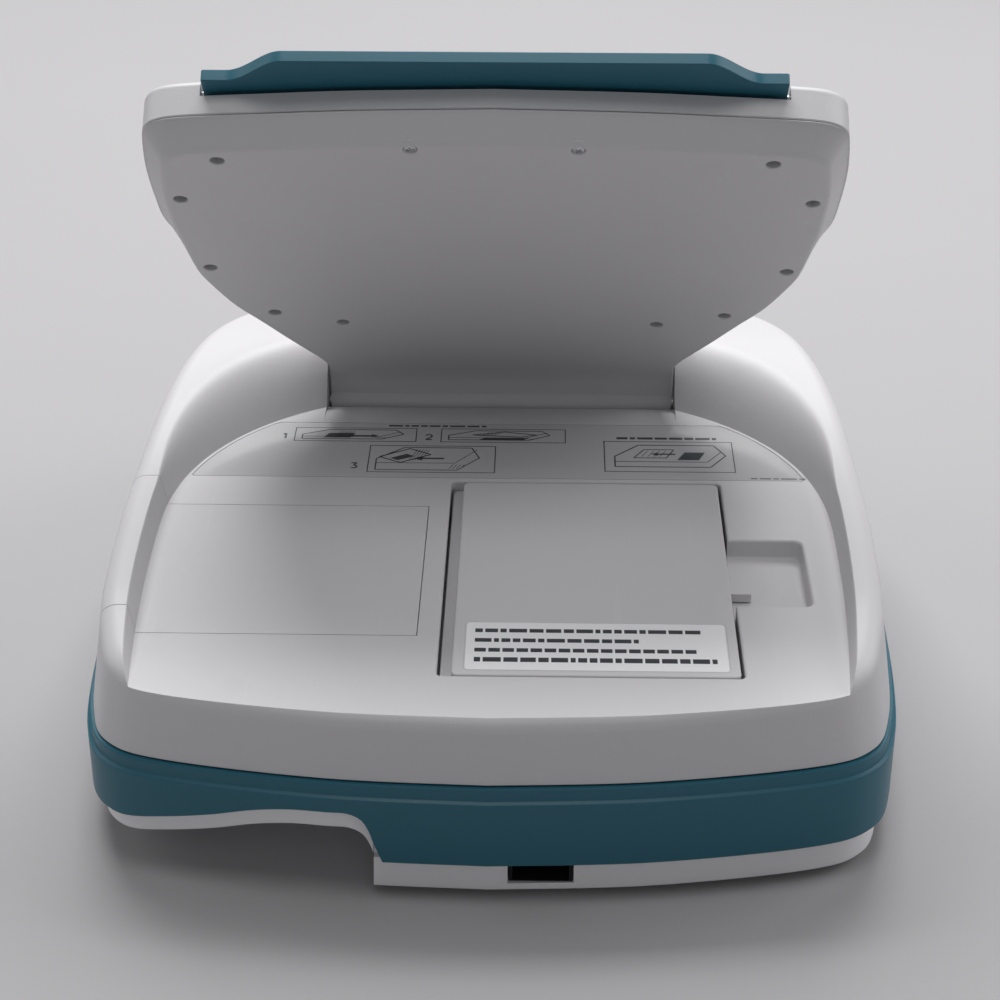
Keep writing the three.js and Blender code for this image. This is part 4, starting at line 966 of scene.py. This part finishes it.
def copies_on_points(name, places, head, material, tilt):
    """Copies of head that ride on the display, one at each place."""
    tree, tilt_key = copying_tree(name, head, material)
    cloud = bpy.data.meshes.new(name)
    cloud.from_pydata([on_display(*p) for p in places], [], [])
    piece = add_object(name, cloud)
    modifier = piece.modifiers.new("copies", "NODES")
    modifier.node_group = tree
    modifier[tilt_key] = tilt
    piece.data = evaluated(piece)
    piece.modifiers.clear()
    bpy.data.objects.remove(head)
    work = bmesh.new()
    work.from_mesh(piece.data)
    mark_edges(work, 35)
    work.to_mesh(piece.data)
    work.free()
    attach(piece, "display")
    print(name, len(places), "screws")


bright = metal("screw_bright", (0.78, 0.78, 0.8), 0.22)
# The side screws' metal is painted dark: painted shade that stands in for the shade down their deep holes.
painted_shade_screw_metal = metal("screw_painted_shade", (0.09, 0.09, 0.095), 0.38)
copies_on_points("screws_top", [(x, s, 1.08) for x, s in top_screws],
                 screw_head("head_top", 2.2, bright), bright, -TILT)
copies_on_points("screws_side", [(x, s, 4.55) for x, s in side_screws],
                 screw_head("head_side", 2.15, painted_shade_screw_metal), painted_shade_screw_metal, -TILT)

# %% [markdown]
# ## Keys, feet and sockets
# The keys are soft pads with crowned tops. The feet are turned rubber pads. The patient socket is a
# round shell with contact pins in it, and beside it sits the small socket for the mains adapter.

# %% Keys
def key_cap(outline):
    """A pad with a rounded shoulder and a slightly domed top."""
    low, high, crown = 0.5, 5.75, 0.25
    middle_x = sum(x for x, _ in outline) / len(outline)
    middle_y = sum(y for _, y in outline) / len(outline)
    rings = [[(x, y, low) for x, y in outline]]
    for shrink, height in [(1, high - 1.2), (0.985, high - 0.6), (0.95, high - 0.2), (0.88, high),
                           (0.6, high + crown * 0.7), (0.25, high + crown)]:
        rings.append([(middle_x + (x - middle_x) * shrink, middle_y + (y - middle_y) * shrink, height)
                      for x, y in outline])
    return loft(rings, ladder=False)


for number, x in enumerate(key_xs, 1):
    pad = key_cap(rounded(x - 8, x + 8, KEY_D - 5, KEY_D + 5, 2.2))
    place("key_pad_%d" % number, pad, on_base, "key_%d_body" % number, "grey_plastic",
          ["key_%d" % number])
circle = [(POWER_KEY_X + a, KEY_D + b) for a, b in ring_of(5.5)]
place("power_pad", key_cap(circle), on_base, "power_key_body", "power_green", ["power_key"])

# %% Feet and sockets
for name, x, d in [("rear_left", -92, 84), ("rear_right", 98, 40), ("front_left", -70, 270),
                   ("front_right", 70, 270)]:
    foot = turned([(5.6, -FLOOR_ABOVE_BENCH), (6.8, -68.4), (7.7, -67.8), (8, -66.9), (8, -65.8)],
                  x, d, sides=64)
    place("pad_" + name, foot, on_base, "base", "rubber", ["foot_" + name])

socket = turned([(10.7, 117), (10.7, 134.5), (10.2, 135)], LEAD_SOCKET_D, SOCKET_H, "X", 64)
socket = cut(socket, turned([(8, 123), (8, 134.5), (8.5, 135.5)], LEAD_SOCKET_D, SOCKET_H, "X", 64))
for i in range(8):
    angle = math.tau * i / 8
    y, z = LEAD_SOCKET_D + 4.6 * math.cos(angle), SOCKET_H + 4.6 * math.sin(angle)
    socket = join(socket, turned([(0.75, 121), (0.75, 128.9), (0.4, 129.7)], y, z, "X", 16))
place("lead_socket", socket, on_base, "base", "grey_plastic", ["patient_socket"])
jack = turned([(4.9, 117.8), (4.9, 131.4), (4.6, 131.8)], ADAPTER_D, SOCKET_H, "X", 48)
jack = cut(jack, turned([(3.5, 121.8), (3.5, 131.4), (3.9, 132.4)], ADAPTER_D, SOCKET_H, "X", 48))
jack = join(jack, turned([(0.9, 120), (0.9, 128.4), (0.5, 129.2)], ADAPTER_D, SOCKET_H, "X", 24))
place("adapter_socket", jack, on_base, "base", "dark_plastic", ["power_inlet"])
port = softened(block(6.7, 27.1, 2.6, 20, -62.3, -54.6), 0.4)
port = cut(port, block(7.9, 25.9, 1, 16, -61.7, -55.2))
port = join(port, block(9.5, 24.3, 6, 17, -58.9, -57.9))
place("port", port, on_base, "base", "dark_plastic", ["data_port"], material=PORT_BLACK)

# %% [markdown]
# ## Labels
# The instruction label covers the far part of the floor: a glossy film printed with numbered boxes
# that show how to load the paper and the battery. The print is thin ink lying on the film, drawn
# here as plain pictures, digits and bars that stand for text.

# %% Instruction label
plate = slab(label_half(0), -0.35, -0.02)
place("label", plate, on_base, "base", "label", ["instruction_label"])


class Print:
    """Flat ink shapes gathered into one mesh."""

    def __init__(self, height):
        self.height = height
        self.points = []
        self.faces = []

    def polygon(self, outline):
        start = len(self.points)
        self.points += [(x, y, self.height) for x, y in outline]
        self.points += [(x, y, self.height - 0.05) for x, y in outline]
        count = len(outline)
        self.faces.append(tuple(range(start, start + count)))
        self.faces.append(tuple(reversed(range(start + count, start + 2 * count))))
        for i in range(count):
            j = (i + 1) % count
            self.faces.append((start + i, start + count + i, start + count + j, start + j))

    def bar(self, left, right, near, far):
        self.polygon([(left, near), (right, near), (right, far), (left, far)])

    def frame(self, left, right, near, far, line=0.4):
        self.bar(left, right, near, near + line)
        self.bar(left, right, far - line, far)
        self.bar(left, left + line, near + line, far - line)
        self.bar(right - line, right, near + line, far - line)

    def stroke(self, start, end, width=0.4):
        dx, dy = end[0] - start[0], end[1] - start[1]
        size = math.hypot(dx, dy)
        nx, ny = -dy / size * width * 0.62, dx / size * width * 0.62
        self.polygon([(start[0] - nx, start[1] - ny), (end[0] - nx, end[1] - ny),
                      (end[0] + nx, end[1] + ny), (start[0] + nx, start[1] + ny)])

    def path(self, points, width=0.4):
        for a, b in zip(points, points[1:]):
            self.stroke(a, b, width)

    def arrow(self, start, end, size=2):
        self.stroke(start, end, size * 0.3)
        angle = math.atan2(end[1] - start[1], end[0] - start[0])
        tip = (end[0] + size * math.cos(angle), end[1] + size * math.sin(angle))
        sides = [(end[0] + size * 0.55 * math.cos(angle + a), end[1] + size * 0.55 * math.sin(angle + a))
                 for a in (-math.pi / 2, math.pi / 2)]
        self.polygon([sides[0], tip, sides[1]])

    def words(self, left, right, near, height, seed):
        """A row of short bars like a line of print."""
        x = left
        k = seed
        while x < right - 1.5:
            k = (k * 7 + 3) % 11
            length = min(1.6 + k * 0.42, right - x)
            self.bar(x, x + length, near, near + height)
            x += length + 0.8

    def done(self, name, body):
        mesh = mesh_of(self.points, self.faces)
        return place(name, mesh, on_base, body, "label", material=INK, weighted=False)


def digit(print_on, number, x, near, size):
    """A digit drawn with straight strokes, read from the rear."""
    shapes = {1: [(0.1, 0.8), (0.5, 1), (0.5, 0)],
              2: [(0, 0.8), (0.25, 1), (0.7, 1), (0.9, 0.75), (0.8, 0.5), (0, 0), (0.95, 0)],
              3: [(0, 1), (0.8, 1), (0.4, 0.58), (0.8, 0.45), (0.85, 0.15), (0.5, 0), (0.05, 0.08)]}
    points = [(x + px * size * 0.62, near + py * size) for px, py in shapes[number]]
    print_on.path(points, size * 0.16)


marks = Print(0.0)
marks.frame(-77, -31, 184, 195)
marks.frame(-22, 25, 184, 195)
marks.frame(-48, -1, 160, 181)
marks.frame(39, 87, 162, 186)
digit(marks, 1, -81.5, 186, 4)
digit(marks, 2, -27.5, 186, 4)
digit(marks, 3, -54, 163, 4)


def machine(left, near, tall):
    """The recorder drawn from its left side: a slab with a rim, and its paper tray."""
    far = near + tall
    marks.path([(left + 3, near + 2), (left + 33, near + 2), (left + 41, near + tall * 0.55),
                (left + 38, far - 1.6), (left + 13, far - 1.6), (left + 3, near + tall * 0.5),
                (left + 3, near + 2)], 0.4)
    marks.path([(left + 3, near + tall * 0.35), (left + 32, near + tall * 0.35), (left + 40, far - 3)], 0.25)
    for i in range(5):
        marks.stroke((left + 15 + i * 1.1, near + tall * 0.45), (left + 18 + i * 1.1, far - 3), 0.18)
    for i in range(4):
        marks.stroke((left + 30 + i * 1.4, near + 3), (left + 31.5 + i * 1.4, near + tall * 0.3), 0.22)


for left, near, tall in [(-77, 184, 11), (-22, 184, 11), (-48, 160, 21)]:
    machine(left, near, tall)
marks.polygon([(-66, 187), (-56, 187), (-54, 190.6), (-64, 190.6)])
marks.arrow((-56, 188.6), (-48, 188.6), 2.6)
marks.polygon([(-8, 186), (9, 186), (11, 188), (-5, 188)])
marks.path([(-10, 190), (2, 192.6), (14, 190.4), (8, 188.6), (-10, 190)], 0.45)
marks.path([(-44, 172), (-33, 178.6), (-25, 174), (-36, 167.6), (-44, 172)], 0.5)
marks.polygon([(-40, 171), (-34, 174.4), (-31, 172.6), (-37, 169.4)])
marks.arrow((-20, 171), (-28, 171), 3)
marks.path([(43, 166), (78, 166), (84, 175), (80, 183), (52, 183), (43, 174), (43, 166)], 0.45)
marks.path([(43, 170), (77, 170), (82.5, 178)], 0.3)
marks.polygon([(66, 171.5), (74, 171.5), (76.5, 177.5), (69, 177.5)])
marks.path([(50, 173), (62, 173), (65, 179.5), (54, 179.5), (50, 173)], 0.4)
for i in range(4):
    marks.stroke((53 + i * 2.2, 174), (55.4 + i * 2.2, 178.6), 0.2)
marks.arrow((65.5, 176), (59, 176), 2.6)
marks.words(-42, -5, 196.3, 1.3, 4)
marks.words(44, 82, 187.6, 1.7, 2)
marks.words(92, 112, 157.3, 0.7, 3)
marks.done("label_print", "base")

# %% Battery sticker print
rows = Print(-0.08)
for row, end in enumerate([68, 48, 66, 73]):
    rows.words(-5, end, 52 - row * 5.8, 2.6 if row == 3 else 2.2, 3 + row)
rows.done("sticker_print", "battery")

# %% Key symbols
for number, x in enumerate(key_xs, 1):
    symbol = Print(6.02)
    if number == 1:
        symbol.polygon([(x + 2, KEY_D - 2.4), (x + 2, KEY_D + 2.4), (x - 2.4, KEY_D)])
    elif number == 2:
        symbol.bar(x - 1.8, x + 1.8, KEY_D - 1.8, KEY_D + 1.8)
    elif number == 3:
        symbol.path([(x + 4, KEY_D), (x + 1.6, KEY_D), (x + 0.8, KEY_D - 2), (x - 0.4, KEY_D + 3),
                     (x - 1.4, KEY_D), (x - 4, KEY_D)], 0.45)
    elif number == 4:
        symbol.arrow((x, KEY_D + 2.6), (x, KEY_D - 0.6), 2.2)
    else:
        symbol.arrow((x, KEY_D - 2.6), (x, KEY_D + 0.6), 2.2)
    symbol.done("key_symbol_%d" % number, "key_%d_body" % number)

# %% [markdown]
# ## Stage
# A pale sweep stands behind and below the recorder. A broad soft light hangs above and beyond it,
# so that its top faces shine and the faces towards the camera stay darker. Weaker lights overhead
# and at both sides keep its flanks pale, and a faint fill comes from the camera's side.

# %% Stage and light
SWEEP_STEPS = 60
LIT_PLACE = (0, 0, 0.1)
sweep = [(-6, 0), (-3, 0), (0, 0), (1.2, 0), (1.9, 0.06), (2.35, 0.3), (2.6, 0.75), (2.7, 1.4),
         (2.7, 4.5)]
sweep = spline(sweep, SWEEP_STEPS)
points = [(x, y, z) for x in (-6, 6) for y, z in sweep]
faces = [(i, i + 1, i + SWEEP_STEPS + 2, i + SWEEP_STEPS + 1) for i in range(SWEEP_STEPS)]
backdrop_mesh = bpy.data.meshes.new("backdrop")
backdrop_mesh.from_pydata(points, [], faces)
for face in backdrop_mesh.polygons:
    face.use_smooth = True
paper = Surface("backdrop_paper", 0.9)
paper.colour(paper.blend(paper.noise(3, 3), (0.39, 0.382, 0.39), (0.41, 0.402, 0.41)))
paper.bump(paper.noise(500, 2), 0.00004)
backdrop_mesh.materials.append(paper.material)
backdrop = add_object("backdrop", backdrop_mesh)


def area_light(name, place_at, size, power):
    """A rectangular light turned towards the recorder."""
    data = bpy.data.lights.new(name, "AREA")
    data.shape = "RECTANGLE"
    data.size, data.size_y = size
    data.energy = power
    light = add_object(name, data)
    light.location = place_at
    aim = [t - p for t, p in zip(LIT_PLACE, place_at)]
    yaw = math.atan2(aim[1], aim[0]) - math.pi / 2
    pitch = math.atan2(math.hypot(aim[0], aim[1]), -aim[2])
    light.rotation_euler = (pitch, 0, yaw)


area_light("key", (-0.1, 0.95, 1.7), (1.5, 0.9), 42)
area_light("top", (0, -0.45, 2.2), (0.8, 0.8), 7.5)
area_light("side", (-1.4, 0.35, 0.9), (0.9, 1.1), 3.5)
area_light("side_right", (1.4, 0.35, 0.9), (0.9, 1.1), 8)
area_light("fill", (0.1, -1.8, 1.3), (1.6, 1.2), 1.5)
world = bpy.data.worlds.new("studio")
world.use_nodes = True
world.node_tree.nodes["Background"].inputs["Color"].default_value = (0.92, 0.93, 0.95, 1)
world.node_tree.nodes["Background"].inputs["Strength"].default_value = 0.2
scene.world = world
